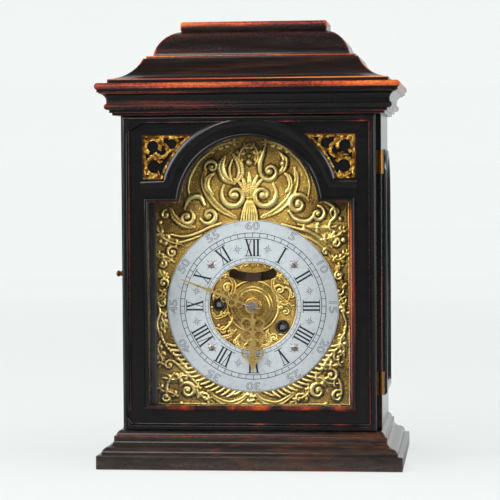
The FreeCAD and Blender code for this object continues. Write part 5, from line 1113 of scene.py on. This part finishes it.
# %% [markdown]
# ## From heights to a closed sheet of metal
# The grid is trimmed to the dial's outline, its border points are slid onto that outline,
# and every point moves forward by its height. Then the border is extruded back to the
# rear face and filled, so that the sheet is a solid that can be seen from behind too. Each
# point keeps two numbers for the finish: how high it stands and how deep it is sunk.

# %% Build the sheet
DIAL_FRONT, DIAL_BACK = -45, -43


def raised_sheet(name, sheet, keep, settle, front=DIAL_FRONT, back=DIAL_BACK):
    mesh = bmesh.new()
    wide, tall = sheet.high[0] - sheet.low[0], sheet.high[1] - sheet.low[1]
    middle = Vector(((sheet.low[0] + sheet.high[0]) / 2, front,
                     (sheet.low[1] + sheet.high[1]) / 2)) * MM
    stand = (Matrix.Translation(middle) @ Matrix.Rotation(math.radians(90), 4, "X")
             @ Matrix.Diagonal((wide / 2 * MM, tall / 2 * MM, 1, 1)))
    bmesh.ops.create_grid(mesh, x_segments=sheet.columns, y_segments=sheet.rows, size=1,
                          matrix=stand)
    relief = mesh.verts.layers.float.new("relief")
    hollow = mesh.verts.layers.float.new("hollow")
    co = np.array([vert.co for vert in mesh.verts]) / MM
    column = np.clip(np.round((co[:, 0] - sheet.low[0]) / wide * sheet.columns), 0,
                     sheet.columns).astype(int)
    row = np.clip(np.round((co[:, 2] - sheet.low[1]) / tall * sheet.rows), 0,
                  sheet.rows).astype(int)
    inside = keep(co[:, 0], co[:, 2])
    rise, sunk = sheet.height[row, column], cavity(sheet.height)[row, column]
    for vert, high, low in zip(mesh.verts, rise, sunk):
        vert[relief] = high
        vert[hollow] = low
    unwanted = [vert for vert, good in zip(mesh.verts, inside) if not good]
    bmesh.ops.delete(mesh, geom=unwanted, context="VERTS")
    lone = [vert for vert in mesh.verts if not vert.link_faces]
    bmesh.ops.delete(mesh, geom=lone, context="VERTS")
    rim = [edge for edge in mesh.edges if edge.is_boundary]
    border = {vert for edge in rim for vert in edge.verts}
    for vert in mesh.verts:
        high = vert[relief]
        if vert in border:
            x, z = settle(vert.co.x / MM, vert.co.z / MM)
            high *= 0.3
            vert.co = Vector((x * MM, (front - high) * MM, z * MM))
        else:
            vert.co.y = (front - high) * MM
    pulled = bmesh.ops.extrude_edge_only(mesh, edges=rim)["geom"]
    rear = [item for item in pulled if isinstance(item, bmesh.types.BMVert)]
    for vert in rear:
        vert.co.y = back * MM
        vert[relief] = vert[hollow] = 0
    fresh = set(rear)
    rear_edges = [item for item in pulled if isinstance(item, bmesh.types.BMEdge)
                  and item.verts[0] in fresh and item.verts[1] in fresh]
    bmesh.ops.triangle_fill(mesh, use_beauty=False, use_dissolve=False, edges=rear_edges,
                            normal=(0, 1, 0))
    return finished(name, mesh, chased, "case", ["dial_plate"], crisp=60)


print("sheet tools ready")

# %% [markdown]
# The colour follows the height and the depth that were noted on each point. The brown of old
# lacquer sits in the hollows of the chasing, and painted shade darkens them further; the high
# places are rubbed bright and carry a painted highlight.

# %% Chased brass and the outer sheet
def chased_brass():
    finish = Finish("chased_brass", Metallic=1.0)
    height = finish.painted("relief")
    sunk = finish.painted("hollow")
    cloud = finish.noise(0.035, 3)
    stipple = finish.cells(0.0012)
    ground = finish.between(height, 0.3, 0.9, 1, 0)
    # Painted light: the level rises with the height, a painted highlight, and falls with the depth
    # of each hollow, a painted shade.
    painted_light_level = finish.sums("ADD", finish.between(height, 0.0, 2.2, 0.46, 0.90),
                      finish.sums("MULTIPLY_ADD", sunk, -1.2, finish.sums(
                          "MULTIPLY_ADD", cloud, 1.3, -0.66)), clamp=True)
    colour = finish.ramp(painted_light_level, (0.0, (0.035, 0.018, 0.005)), (0.25, (0.16, 0.09, 0.019)),
                         (0.55, (0.46, 0.29, 0.062)), (0.8, (0.84, 0.60, 0.15)),
                         (1.0, (0.97, 0.80, 0.32)))
    finish.bump(finish.sums("MULTIPLY", stipple, ground), 0.0006, 0.5)
    return finish.wear(colour, finish.between(painted_light_level, 0.1, 0.9, 0.55, 0.36))


chased = chased_brass()


def outer_keep(x, z):
    arch = (z <= DIAL_SHOULDER) | (np.hypot(x, z - ARCH_CENTRE) <= DIAL_ARCH + 0.2)
    return arch & (np.hypot(x, z - DIAL_CENTRE) >= RING_SEAT)


def outer_settle(x, z):
    """Slides a border point onto the ring's seat, the arch or the straight sides."""
    from_centre = math.hypot(x, z - DIAL_CENTRE)
    if from_centre < RING_SEAT + 1.5:
        share = RING_SEAT / from_centre
        return x * share, DIAL_CENTRE + (z - DIAL_CENTRE) * share
    if z > DIAL_SHOULDER + 0.5:
        share = DIAL_ARCH / math.hypot(x, z - ARCH_CENTRE)
        return x * share, ARCH_CENTRE + (z - ARCH_CENTRE) * share
    return max(-DIAL_HALF, min(DIAL_HALF, x)), max(DIAL_FOOT, z)


dial_outer = raised_sheet("dial_chased_field", outer_sheet, outer_keep, outer_settle)
print("outer dial:", len(dial_outer.data.polygons), "faces")

# %% [markdown]
# ## The centre of the dial
# Inside the ring the same work continues at a finer scale, round two winding holes and a
# curved slot through which a small bob on the verge can be seen to swing.

# %% Strokes of the dial centre
CENTRE_SCROLLS = [
    ("gouge", (0.9, 2.4, 1.2), (0.8, 1.6, 1.0),
     [(221, 276), (229, 277), (234, 285), (231, 296), (224, 299)]),
    ("gouge", (0.9, 2.2, 1.0), (0.8, 1.6, 1.0), [(229, 306), (224, 314), (216, 318), (212, 313)]),
    ("rib", (0.7, 1.6, 0.8), (0.8, 1.5, 0.8), [(232, 312), (231, 322), (223, 330), (214, 328)]),
    ("leaf", (0.8, 2.6, 1.0), (0.8, 1.8, 0.8), [(236, 330), (228, 337), (219, 338), (214, 335)]),
    ("leaf", (0.8, 2.4, 1.0), (0.8, 1.8, 0.8), [(240, 272), (233, 268), (226, 269), (221, 271)]),
    ("gouge", (0.9, 2.2, 1.0), (0.8, 1.6, 1.0),
     [(285, 278), (279, 276), (273, 281), (275, 292), (284, 300), (293, 307)]),
    ("rib", (0.7, 1.6, 0.8), (0.8, 1.5, 0.8), [(280, 290), (287, 288), (291, 293), (289, 300)]),
    ("gouge", (0.9, 2.0, 1.0), (0.8, 1.6, 1.0), [(278, 306), (284, 303), (291, 308), (293, 316)]),
    ("leaf", (0.8, 2.4, 1.0), (0.8, 1.8, 0.8), [(266, 331), (270, 338), (268, 345), (261, 347)]),
    ("leaf", (0.8, 2.4, 1.0), (0.8, 1.8, 0.8), [(241, 334), (236, 341), (238, 347), (245, 349)]),
    ("gouge", (0.8, 1.8, 0.8), (0.8, 1.4, 0.8), [(241, 268), (244, 263), (250, 262), (252, 266)]),
    ("gouge", (0.8, 1.8, 0.8), (0.8, 1.4, 0.8), [(266, 268), (263, 263), (257, 262), (254, 266)]),
    ("rib", (0.6, 1.4, 0.7), (0.7, 1.3, 0.7), [(275, 268), (282, 269), (289, 275), (292, 283)]),
    ("rib", (0.6, 1.4, 0.7), (0.7, 1.3, 0.7), [(216, 290), (213, 297), (214, 303)]),
    ("rib", (0.6, 1.4, 0.7), (0.7, 1.3, 0.7), [(289, 338), (282, 343), (275, 346)]),
]
CENTRE_CURLS = [
    ((227, 288), 6.5, 300, 430, 1.5, 1.3), ((224, 314), 4.5, 80, 420, 1.1, 1.2),
    ((280, 290), 6.5, 240, -430, 1.5, 1.3), ((286, 312), 4.0, 100, -400, 1.0, 1.2),
    ((223, 331), 4.5, 30, 420, 1.1, 1.2), ((274, 338), 4.0, 150, -400, 1.0, 1.1),
    ((235, 343), 3.8, 330, 380, 0.9, 1.1), ((233, 270), 3.6, 200, -380, 0.9, 1.1),
    ((273, 270), 3.6, 340, 380, 0.9, 1.1), ((216, 300), 3.4, 90, 360, 0.9, 1.1),
    ((292, 296), 3.2, 90, -360, 0.8, 1.0),
]
CENTRE_LEAVES = [
    ([(236, 279), (229, 275), (222, 276), (216, 283)], 1.9, 5, 1.1),
    ([(270, 279), (277, 276), (284, 279), (289, 286)], 1.9, 5, 1.1),
    ([(229, 301), (223, 305), (215, 306), (211, 311)], 1.8, 5, 1.1),
    ([(277, 301), (284, 305), (290, 304), (295, 310)], 1.8, 5, 1.1),
    ([(232, 320), (229, 327), (231, 336), (228, 343)], 1.8, 5, 1.1),
    ([(244, 346), (250, 341), (257, 341), (263, 346)], 1.8, 5, 1.1),
    ([(268, 330), (266, 337), (270, 344), (266, 350)], 1.6, 4, 1.0),
    ([(245, 266), (250, 263), (256, 263), (261, 266)], 1.5, 4, 1.0),
]
CENTRE_BEADS = [
    ((228, 286), 2.6, 1.6), ((223, 333), 1.8, 1.3), ((218, 326), 1.5, 1.2),
    ((281, 308), 2.2, 1.5), ((276, 340), 1.7, 1.3), ((281, 335), 1.5, 1.2),
    ((253, 345), 1.8, 1.4), ((236, 277), 1.5, 1.2), ((270, 277), 1.5, 1.2),
    ((270, 340), 1.4, 1.1), ((228, 314), 2.0, 1.5), ((288, 284), 1.6, 1.2),
]
print(len(CENTRE_SCROLLS), "strokes and", len(CENTRE_CURLS), "curls in the centre")

# %% [markdown]
# Two raised rings frame the centre. The hole of the arbor, the two winding holes and the
# slot are cut out afterwards, and the border points slide onto their true outlines.

# %% Sheet of the dial centre
CENTRE_RADIUS, ARBOR_HOLE, WINDING_HOLE = 44.4, 6, 5.4


def centre_chasing():
    half = CENTRE_RADIUS + 0.4
    sheet = Chasing((-half, DIAL_CENTRE - half), (half, DIAL_CENTRE + half), 0.4)
    for kind, wide, tall, path in CENTRE_SCROLLS:
        sheet.stroke(drawn(path), wide, tall, kind)
    for entry in CENTRE_CURLS:
        curl(sheet, *entry)
    for entry in CENTRE_LEAVES:
        acanthus(sheet, *entry)
    for spot, radius, tall in CENTRE_BEADS:
        sheet.boss(dial_point(*spot), radius, tall, 0.2)
    off = np.hypot(sheet.x, sheet.z - DIAL_CENTRE)
    for radius, wide, tall in ((43.0, 1.3, 0.8), (24.6, 0.9, 0.8)):
        sheet.height = np.maximum(sheet.height, np.where(
            np.abs(off - radius) < wide, tall * np.sqrt(np.clip(
                1 - ((off - radius) / wide)**2, 0, 1)), 0))
    sheet.softened(1)
    sheet.punched(0.09, 8)
    return sheet


WINDING = ((28.4, 132.0), (-32.8, 153.8))
SLOT_CENTRE, SLOT_RADIUS, SLOT_HALF, SLOT_ANGLE = 235.0, 55.0, 4.4, math.radians(20)


def slot_gap(x, z):
    """Distance outside the curved slot: below zero is inside it."""
    angle = np.arctan2(x, SLOT_CENTRE - z)
    held = np.clip(angle, -SLOT_ANGLE, SLOT_ANGLE)
    near_x, near_z = SLOT_RADIUS * np.sin(held), SLOT_CENTRE - SLOT_RADIUS * np.cos(held)
    return np.hypot(x - near_x, z - near_z) - SLOT_HALF


def centre_keep(x, z):
    from_centre = np.hypot(x, z - DIAL_CENTRE)
    good = (from_centre <= CENTRE_RADIUS) & (slot_gap(x, z) > 0) & (from_centre > ARBOR_HOLE)
    for hole_x, hole_z in WINDING:
        good &= np.hypot(x - hole_x, z - hole_z) > WINDING_HOLE
    return good


def centre_settle(x, z):
    """Slides a border point onto the nearest true outline."""
    options = [(abs(math.hypot(x, z - DIAL_CENTRE) - radius), 0, DIAL_CENTRE, radius)
               for radius in (CENTRE_RADIUS, ARBOR_HOLE)]
    options += [(abs(math.hypot(x - hx, z - hz) - WINDING_HOLE), hx, hz, WINDING_HOLE)
                for hx, hz in WINDING]
    gap, cx, cz, radius = min(options)
    if abs(float(slot_gap(x, z))) < gap:
        angle = max(-SLOT_ANGLE, min(SLOT_ANGLE, math.atan2(x, SLOT_CENTRE - z)))
        cx, cz = SLOT_RADIUS * math.sin(angle), SLOT_CENTRE - SLOT_RADIUS * math.cos(angle)
        radius = SLOT_HALF
    out = math.hypot(x - cx, z - cz)
    return cx + (x - cx) * radius / out, cz + (z - cz) * radius / out


dial_inner = raised_sheet("dial_chased_centre", centre_chasing(), centre_keep,
                          centre_settle)
print("dial centre:", len(dial_inner.data.polygons), "faces")

# %% [markdown]
# ## Turned brass and the winding holes
# The boss under the hands is turned in a lathe, with fine steps and rings. We draw half of
# its section and spin it once round the axis, and do the same for the collars of the two
# winding holes, which are dark steel: painted shade that widens the dark round each hole.

# %% Spin the turned pieces
def turned(name, profile, centre, material, body, replaces=(), steps=72):
    """Spins a closed section of (radius, y) round an axis that points at us."""
    mesh = bmesh.new()
    cx, cz = centre
    spun(mesh, [(cx + radius, y, cz) for radius, y in profile], (cx, 0, cz), (0, 1, 0), steps)
    return finished(name, mesh, material, body, replaces, crisp=35)


boss_section = [(5.4, -45.0), (5.4, -48.0), (7.6, -48.3), (8.4, -47.9), (8.8, -47.2)]
for inner, outer, crest in ((9.2, 10.8, -47.9), (11.6, 15.6, -47.0), (16.4, 18.6, -46.6),
                            (19.4, 22.3, -46.1)):
    boss_section += [(inner, crest + 0.5), (inner + 0.4, crest), (outer - 0.5, crest),
                     (outer, crest + 0.45)]
boss_section += [(22.5, -45.4), (22.5, -45.0)]
turned("dial_boss_turned", boss_section, (0, DIAL_CENTRE), boss_brass, "case",
       ["dial_boss"])
# Painted shade: the collars are dark steel, so that the dark round each winding square reaches past
# the hole.
for side, hole in zip(("going", "strike"), WINDING):
    turned(side + "_winding_collar", [(5.5, -44.9), (5.5, -45.9), (5.9, -46.3), (6.5, -46.2),
                                      (6.9, -45.7), (6.9, -44.9)], hole, dark_steel, "case",
           steps=40)
print("boss section has", len(boss_section), "points")

# %% [markdown]
# Small things sit round the dial: four slotted screws, the false bob that shows in the
# slot, and the knob of the door catch. Under the ring the dial plate is plain.

# %% Screws, false bob, catch knob and the plate under the ring
RING_FACE, SCREW_CIRCLE = -46.8, 56.5


def slotted_screws():
    """The four screws of the ring: low domed heads, each with a thin dark plate across it,
    painted shade that stands for a saw cut.
    """
    heads, slot_shade_plates = bmesh.new(), bmesh.new()
    half_section = [(0, RING_FACE), (3.2, RING_FACE), (3.2, -47.4), (2.5, -47.9), (1.3, -48.0),
                    (0, -48.0)]
    slot_shade_plate = Matrix.Diagonal((4.6 * MM, 0.06 * MM, 0.8 * MM, 1))
    for corner in range(4):
        lean = math.radians(45 + 90 * corner)
        cx = SCREW_CIRCLE * math.cos(lean)
        cz = DIAL_CENTRE + SCREW_CIRCLE * math.sin(lean)
        spun(heads, [(cx + radius, y, cz) for radius, y in half_section], (cx, 0, cz),
             (0, 1, 0), 24, closed=False)
        # Painted shade: a thin dark steel plate flush with the head stands for the shade in the saw
        # cut.
        place = (Matrix.Translation(Vector((cx, -47.97, cz)) * MM)
                 @ Matrix.Rotation(0.7 + corner * 1.9, 4, "Y") @ slot_shade_plate)
        bmesh.ops.create_cube(slot_shade_plates, size=1, matrix=place)
    finished("ring_screw_heads", heads, screw_steel, "case", ["chapter_ring_screws"],
             crisp=45)
    finished("ring_screw_slot_shade", slot_shade_plates, dark_steel, "case")


def fluted_bob():
    """The small false bob on the verge that swings behind the slot."""
    mesh = bmesh.new()
    flutes, front, back, middle = 28, -41.7, -40.1, 180.5
    rim = []
    for n in range(2 * flutes):
        reach = 7.6 if n % 2 else 6.9
        angle = math.pi * n / flutes
        rim.append(mesh.verts.new(Vector((reach * math.cos(angle), front,
                                          middle + reach * math.sin(angle))) * MM))
    face = mesh.faces.new(rim)
    pulled = bmesh.ops.extrude_face_region(mesh, geom=[face], use_keep_orig=True)["geom"]
    for item in pulled:
        if isinstance(item, bmesh.types.BMVert):
            item.co.y = back * MM
    finished("false_bob_fluted", mesh, bob_red, "pendulum", crisp=20)


def catch_knob(end=-132.0, centre_y=-50.0, centre_z=184.0):
    """The small turned knob on the end of the door catch."""
    mesh = bmesh.new()
    half_section = [(7.0, 0.0), (7.0, 1.4), (5.6, 1.6), (5.0, 2.5), (4.4, 2.6), (3.9, 1.8),
                    (3.0, 2.6), (1.6, 3.1), (0.4, 2.3), (0.0, 0.0)]
    spun(mesh, [(end + along, centre_y + radius, centre_z) for along, radius in half_section],
         (0, centre_y, centre_z), (1, 0, 0), 32, closed=False)
    finished("catch_knob_turned", mesh, case_brass, "catch", crisp=40)


slotted_screws()
fluted_bob()
catch_knob()
seat_front = DIAL_FRONT + 0.05
turned("dial_plate_under_ring", [(CENTRE_RADIUS, seat_front), (RING_SEAT, seat_front),
                                 (RING_SEAT, DIAL_BACK), (CENTRE_RADIUS, DIAL_BACK)],
       (0, DIAL_CENTRE), movement_brass, "case", ["dial_plate"])
print("screws, bob, knob and plate made")

# %% [markdown]
# The bell is a shallow dome of bell metal with a thicker lip. It is the same kind of spin,
# only round an upright axis.

# %% Spin the bell
def bell_dome(centre_y=-7.5, mouth=252.0):
    outside = section((32, 0), (31.2, 9), (28.4, 17.2, 18.2, 22), (4.05, 22))
    inside = section((4.05, 20.4), (17.6, 20.4), (26.9, 16.2, 29.6, 9), (30.0, 0))
    mesh = bmesh.new()
    spun(mesh, [(radius, centre_y, mouth + height) for radius, height in outside + inside],
         (0, centre_y, 0), (0, 0, 1), 72)
    return finished("bell_dome", mesh, bell_metal, "case", ["bell"])


print("bell:", len(bell_dome().data.polygons), "faces")

# %% [markdown]
# ## Engraving the silvered ring
# The engraver cut the figures into the ring and filled them with black wax. We lay each
# cut as a very thin plate on the ring: first flat faces in the plane of the ring, drawn
# in a frame that stands on one hour with "across" and "out" directions, and at the end
# all of them are thickened in a single extrusion.

# %% Tools for the engraved lines
class Engraving:
    """Thin wax-filled cuts on the ring, in millimetres round the centre of the dial."""

    def __init__(self, proud=0.05):
        self.mesh = bmesh.new()
        self.proud = proud

    def spot(self, angle, across, out):
        """A point at this angle clockwise from the top."""
        x = out * math.sin(angle) + across * math.cos(angle)
        z = out * math.cos(angle) - across * math.sin(angle)
        return self.mesh.verts.new(Vector((x, RING_FACE - self.proud, DIAL_CENTRE + z)) * MM)

    def patch(self, angle, *corners):
        self.mesh.faces.new([self.spot(angle, *corner) for corner in corners])

    def bar(self, angle, start, end, wide):
        """A straight cut between two (across, out) places; wide is at each end."""
        along = Vector(end) - Vector(start)
        side = Vector((along.y, -along.x)).normalized()
        first, second = side * wide[0] / 2, side * wide[1] / 2
        self.patch(angle, *(tuple(Vector(place) + shift) for place, shift in (
            (start, first), (end, second), (end, -second), (start, -first))))

    def circle(self, radius, wide, pieces=120):
        """A round cut."""
        angles = [2 * math.pi * n / pieces for n in range(pieces + 1)]
        rims = [(self.spot(angle, 0, radius - wide / 2), self.spot(angle, 0, radius + wide / 2))
                for angle in angles]
        for (low, high), (next_low, next_high) in zip(rims, rims[1:]):
            self.mesh.faces.new((low, next_low, next_high, high))

    def done(self, name, material):
        bmesh.ops.remove_doubles(self.mesh, verts=self.mesh.verts[:], dist=0.000001)
        top = self.mesh.faces[:]
        pulled = bmesh.ops.extrude_face_region(self.mesh, geom=top, use_keep_orig=True)["geom"]
        for item in pulled:
            if isinstance(item, bmesh.types.BMVert):
                item.co.y = (RING_FACE + 0.02) * MM
        return finished(name, self.mesh, material, "case")


print("engraving tools ready")

# %% [markdown]
# Roman figures have two kinds of line, thick and thin, and long hairline serifs that run
# under the whole figure. Halfway between two hours stands a small star.

# %% Hour figures, stars and circles
FIGURES = ("XII", "I", "II", "III", "IIII", "V", "VI", "VII", "VIII", "IX", "X", "XI")
LETTER_WIDTH = {"I": 3.7, "V": 6.6, "X": 6.8}
FOOT, HEAD, THICK, THIN = 48.4, 64.4, 1.75, 0.7


def hour_figure(cut, angle, figure):
    total = sum(LETTER_WIDTH[letter] for letter in figure)
    left = -total / 2
    for letter in figure:
        wide = LETTER_WIDTH[letter]
        middle, near, far = left + wide / 2, left + 1.0, left + wide - 1.0
        if letter == "I":
            cut.bar(angle, (middle, FOOT), (middle, HEAD), (THICK, THICK))
        if letter == "V":
            cut.bar(angle, (near, HEAD), (middle, FOOT), (THICK, THICK))
            cut.bar(angle, (far, HEAD), (middle, FOOT), (THIN, THIN))
        if letter == "X":
            cut.bar(angle, (near, HEAD), (far, FOOT), (THICK, THICK))
            cut.bar(angle, (far, HEAD), (near, FOOT), (THIN, THIN))
        left += wide
    for out in (FOOT, HEAD):
        cut.bar(angle, (-total / 2 - 0.8, out), (total / 2 + 0.8, out), (0.7, 0.7))


def star(cut, angle, out, reach, rays=8, gap=0.6):
    for ray in range(rays):
        lean = 2 * math.pi * ray / rays
        far = reach if ray % 2 == 0 else reach * 0.72
        turn = Vector((math.sin(lean), math.cos(lean)))
        base = Vector((0, out))
        cut.bar(angle, tuple(base + turn * gap), tuple(base + turn * far * 0.55), (0.2, 0.75))
        cut.bar(angle, tuple(base + turn * far * 0.55), tuple(base + turn * far), (0.75, 0.15))


QUARTER_TRACK, MINUTE_TRACK = (43.1, 46.5), (66.3, 70.5)
hours = Engraving()
for hour, figure in enumerate(FIGURES):
    hour_figure(hours, math.radians(30 * hour), figure)
for radius, wide in zip((*QUARTER_TRACK, *MINUTE_TRACK, 82.3), (0.35, 0.45, 0.6, 0.6, 0.35)):
    hours.circle(radius, wide)
for quarter in range(48):
    hours.bar(math.radians(7.5 * quarter), (0, QUARTER_TRACK[0]), (0, QUARTER_TRACK[1]),
              (0.3, 0.3))
for minute in range(60):
    hours.bar(math.radians(6 * minute), (0, MINUTE_TRACK[0]), (0, MINUTE_TRACK[1]),
              (0.55, 0.55))
hours.done("hour_figures", black_wax)

stars = Engraving()
for half in range(12):
    star(stars, math.radians(30 * half + 15), 56.6, 4.6)
for corner in range(4):
    star(stars, math.radians(45 + 90 * corner), SCREW_CIRCLE, 6.4, 8, 3.6)
stars.done("half_hour_stars", grey_wax)
print("hours and stars engraved")

# %% [markdown]
# The minutes are counted in fives round the rim, in large open figures drawn with a
# hairline. We take the outline of a plain text, give it a little thickness, turn it into a
# mesh and only then bring it to its place on the ring.

# %% Minute figures
def minute_figures(reach=76.9, tall=10.6, spread=1.35):
    mesh = bmesh.new()
    for five in range(1, 13):
        text = bpy.data.curves.new("minute_text", "FONT")
        text.body, text.size = str(five * 5), tall * MM
        text.align_x, text.align_y = "CENTER", "CENTER"
        text.fill_mode, text.bevel_depth, text.bevel_resolution = "NONE", 0.2 * MM, 0
        text.resolution_u = 3
        holder = bpy.data.objects.new("minute_text", text)
        bpy.context.scene.collection.objects.link(holder)
        bpy.context.view_layer.update()
        wired = bpy.data.meshes.new_from_object(holder.evaluated_get(
            bpy.context.evaluated_depsgraph_get()))
        angle = math.radians(30 * five)
        spot = Vector((reach * math.sin(angle), RING_FACE - 0.02,
                       DIAL_CENTRE + reach * math.cos(angle)))
        wired.transform(Matrix.Translation(spot * MM) @ Matrix.Rotation(angle, 4, "Y")
                        @ Matrix.Rotation(math.radians(90), 4, "X")
                        @ Matrix.Diagonal((spread, 1, 1, 1)))
        mesh.from_mesh(wired)
        bpy.data.objects.remove(holder)
        bpy.data.curves.remove(text)
        bpy.data.meshes.remove(wired)
    return finished("minute_figures", mesh, grey_wax, "case")


print("minute figures:", len(minute_figures().data.polygons), "faces")

# %% [markdown]
# ## Finishes for the construction pieces that stay
# What is left of the construction model already has its true shape, such as wheels and
# plates. Each keeps its mesh and only gets the finish that its metal or wood asks for.

# %% Dress the construction pieces
dressed = (
    (lining, "dial_mask seat_board seat_cleats"),
    (silvered, "chapter_ring"),
    (wood_upright, "glass_beads"),
    (cloth_finish, "spandrel_cloth"),
    (glass, "door_glass side_glass rear_glass"),
    (dull_brass, "front_plate"),
    (movement_brass, "dial_feet back_plate movement_pillars cannon_wheel minute_wheel"),
    (movement_brass, "hour_wheel going_barrel strike_barrel centre_arbor contrate_wheel"),
    (movement_brass, "crown_wheel potence pendulum_bob verge_cocks pin_wheel fly"),
    (polished_steel, "going_winder strike_winder"),
    (dark_steel, "verge_staff_and_rod bell_stand hammer"),
    (case_brass, "hinge_case_leaves front_hinge_door_leaves rear_hinge_door_leaves"),
    (case_brass, "door_catch rear_latch"),
    (hand_brass, "minute_hand hour_hand"),
    (screw_steel, "hand_collet"),
)
for material, names in dressed:
    for node in names.split():
        data = nodes[node].data
        data.materials.clear()
        data.materials.append(material)
print("dressed the pieces that stay")

# %% [markdown]
# ## Studio
# The clock stands on a pale round sweep. Its surface is painted so that the camera, mirrors
# and glass see it as an even pale grey, with the clock's soft shadow on it. What the brass
# mirrors from the front of the room is darker, as in a real studio.

# %% Floor and backdrop
def pale_sweep():
    finish = Finish("pale_sweep", Roughness=0.9)
    finish.feed(finish.shader.inputs["Base Color"], finish.blend(
        finish.noise(0.8, 2), (0.80, 0.825, 0.815), (0.82, 0.845, 0.835)))
    rays = finish.node("ShaderNodeLightPath")
    seen = finish.sums("MAXIMUM", finish.sums(
        "MAXIMUM", rays.outputs["Is Camera Ray"], rays.outputs["Is Glossy Ray"]),
        rays.outputs["Is Transmission Ray"])
    glow = finish.node("ShaderNodeEmission")
    glow.inputs["Color"].default_value = (0.80, 0.835, 0.82, 1)
    away = finish.node("ShaderNodeVectorMath", operation="LENGTH")
    finish.feed(away.inputs[0], finish.place)
    spread = finish.between(away.outputs["Value"], 0.2, 2.6, 0.80, 0.98)
    axes = finish.node("ShaderNodeSeparateXYZ")
    finish.feed(axes.inputs[0], finish.place)
    mirrored = finish.between(axes.outputs["Y"], -0.3, 0.5, 0.0, 0.85)
    choice = finish.node("ShaderNodeMix", data_type="FLOAT")
    finish.feed(choice.inputs[0], finish.sums("MINIMUM", rays.outputs["Glossy Depth"], 1.0))
    finish.feed(choice.inputs[2], spread)
    finish.feed(choice.inputs[3], mirrored)
    finish.feed(glow.inputs["Strength"], choice.outputs[0])
    matt = finish.node("ShaderNodeBsdfDiffuse")
    matt.inputs["Color"].default_value = (0.17, 0.17, 0.17, 1)
    both = finish.node("ShaderNodeAddShader")
    finish.feed(both.inputs[0], glow.outputs[0])
    finish.feed(both.inputs[1], matt.outputs[0])
    mixed = finish.node("ShaderNodeMixShader")
    finish.feed(mixed.inputs[0], seen)
    finish.feed(mixed.inputs[1], finish.shader.outputs[0])
    finish.feed(mixed.inputs[2], both.outputs[0])
    finish.feed(finish.tree.nodes["Material Output"].inputs["Surface"], mixed.outputs[0])
    return finish.material


FLOOR_RADIUS, COVE_RADIUS, WALL_HEIGHT = 2600, 1000, 4500
sweep = bmesh.new()
cove = [math.radians(15 * turn) for turn in range(7)]
spun(sweep, [(0, 0, 0)] + [
    (0, FLOOR_RADIUS + COVE_RADIUS * math.sin(turn), COVE_RADIUS * (1 - math.cos(turn)))
    for turn in cove] + [(0, FLOOR_RADIUS + COVE_RADIUS, WALL_HEIGHT)],
     (0, 0, 0), (0, 0, 1), 96, closed=False)
bmesh.ops.remove_doubles(sweep, verts=sweep.verts[:], dist=0.0001)
bmesh.ops.recalc_face_normals(sweep, faces=sweep.faces[:])
sweep_data = bpy.data.meshes.new("studio_sweep")
sweep.to_mesh(sweep_data)
sweep.free()
sweep_data.materials.append(pale_sweep())
sweep_piece = bpy.data.objects.new("studio_sweep", sweep_data)
bpy.context.scene.collection.objects.link(sweep_piece)
print("floor and backdrop:", len(sweep_data.polygons), "faces")

# %% [markdown]
# Two big soft lamps stand left and right in front, two smaller ones high at the sides and
# one hangs above, so that every rounded black edge carries a long soft highlight. A small
# lamp lights the dial.

# %% Lamps and air
def lamp(name, place, aim, size, watts, colour=(1, 1, 1), mirrored=True):
    data = bpy.data.lights.new(name, "AREA")
    data.shape = "RECTANGLE"
    data.size, data.size_y = size
    data.energy, data.color = watts, colour
    stand = bpy.data.objects.new(name, data)
    bpy.context.scene.collection.objects.link(stand)
    direction = Vector(aim) - Vector(place)
    stand.matrix_world = (Matrix.Translation(place)
                          @ direction.to_track_quat("-Z", "Y").to_matrix().to_4x4())
    stand.visible_glossy = mirrored
    stand.visible_camera = False


lamp("left_softbox", (-1.5, -1.4, 1.0), (0, 0, 0.2), (0.9, 1.4), 28, (0.94, 0.97, 1))
lamp("right_softbox", (1.7, -1.3, 0.75), (0, 0, 0.2), (0.8, 1.4), 22, (0.93, 0.96, 1))
lamp("overhead_softbox", (0.0, -0.7, 1.8), (0, 0, 0.2), (1.6, 0.9), 18, mirrored=False)
lamp("left_high_softbox", (-1.5, 0.1, 1.6), (0, 0, 0.3), (0.8, 0.8), 17, (0.90, 0.95, 1))
lamp("right_high_softbox", (1.5, 0.1, 1.6), (0, 0, 0.3), (0.8, 0.8), 17, (0.90, 0.95, 1))
lamp("dial_softbox", (-0.5, -1.9, 1.1), (0, 0, 0.17), (0.7, 0.3), 7, (1, 0.97, 0.92))

world = bpy.data.worlds.new("studio_air")
world.use_nodes = True
world.node_tree.nodes["Background"].inputs["Color"].default_value = (0.07, 0.072, 0.076, 1)
bpy.context.scene.world = world
bpy.context.scene.view_settings.view_transform = "Standard"
print("studio ready")

# %% [markdown]
# ## Finish
# That completes the scene.

# %% Finish
print("scene built")
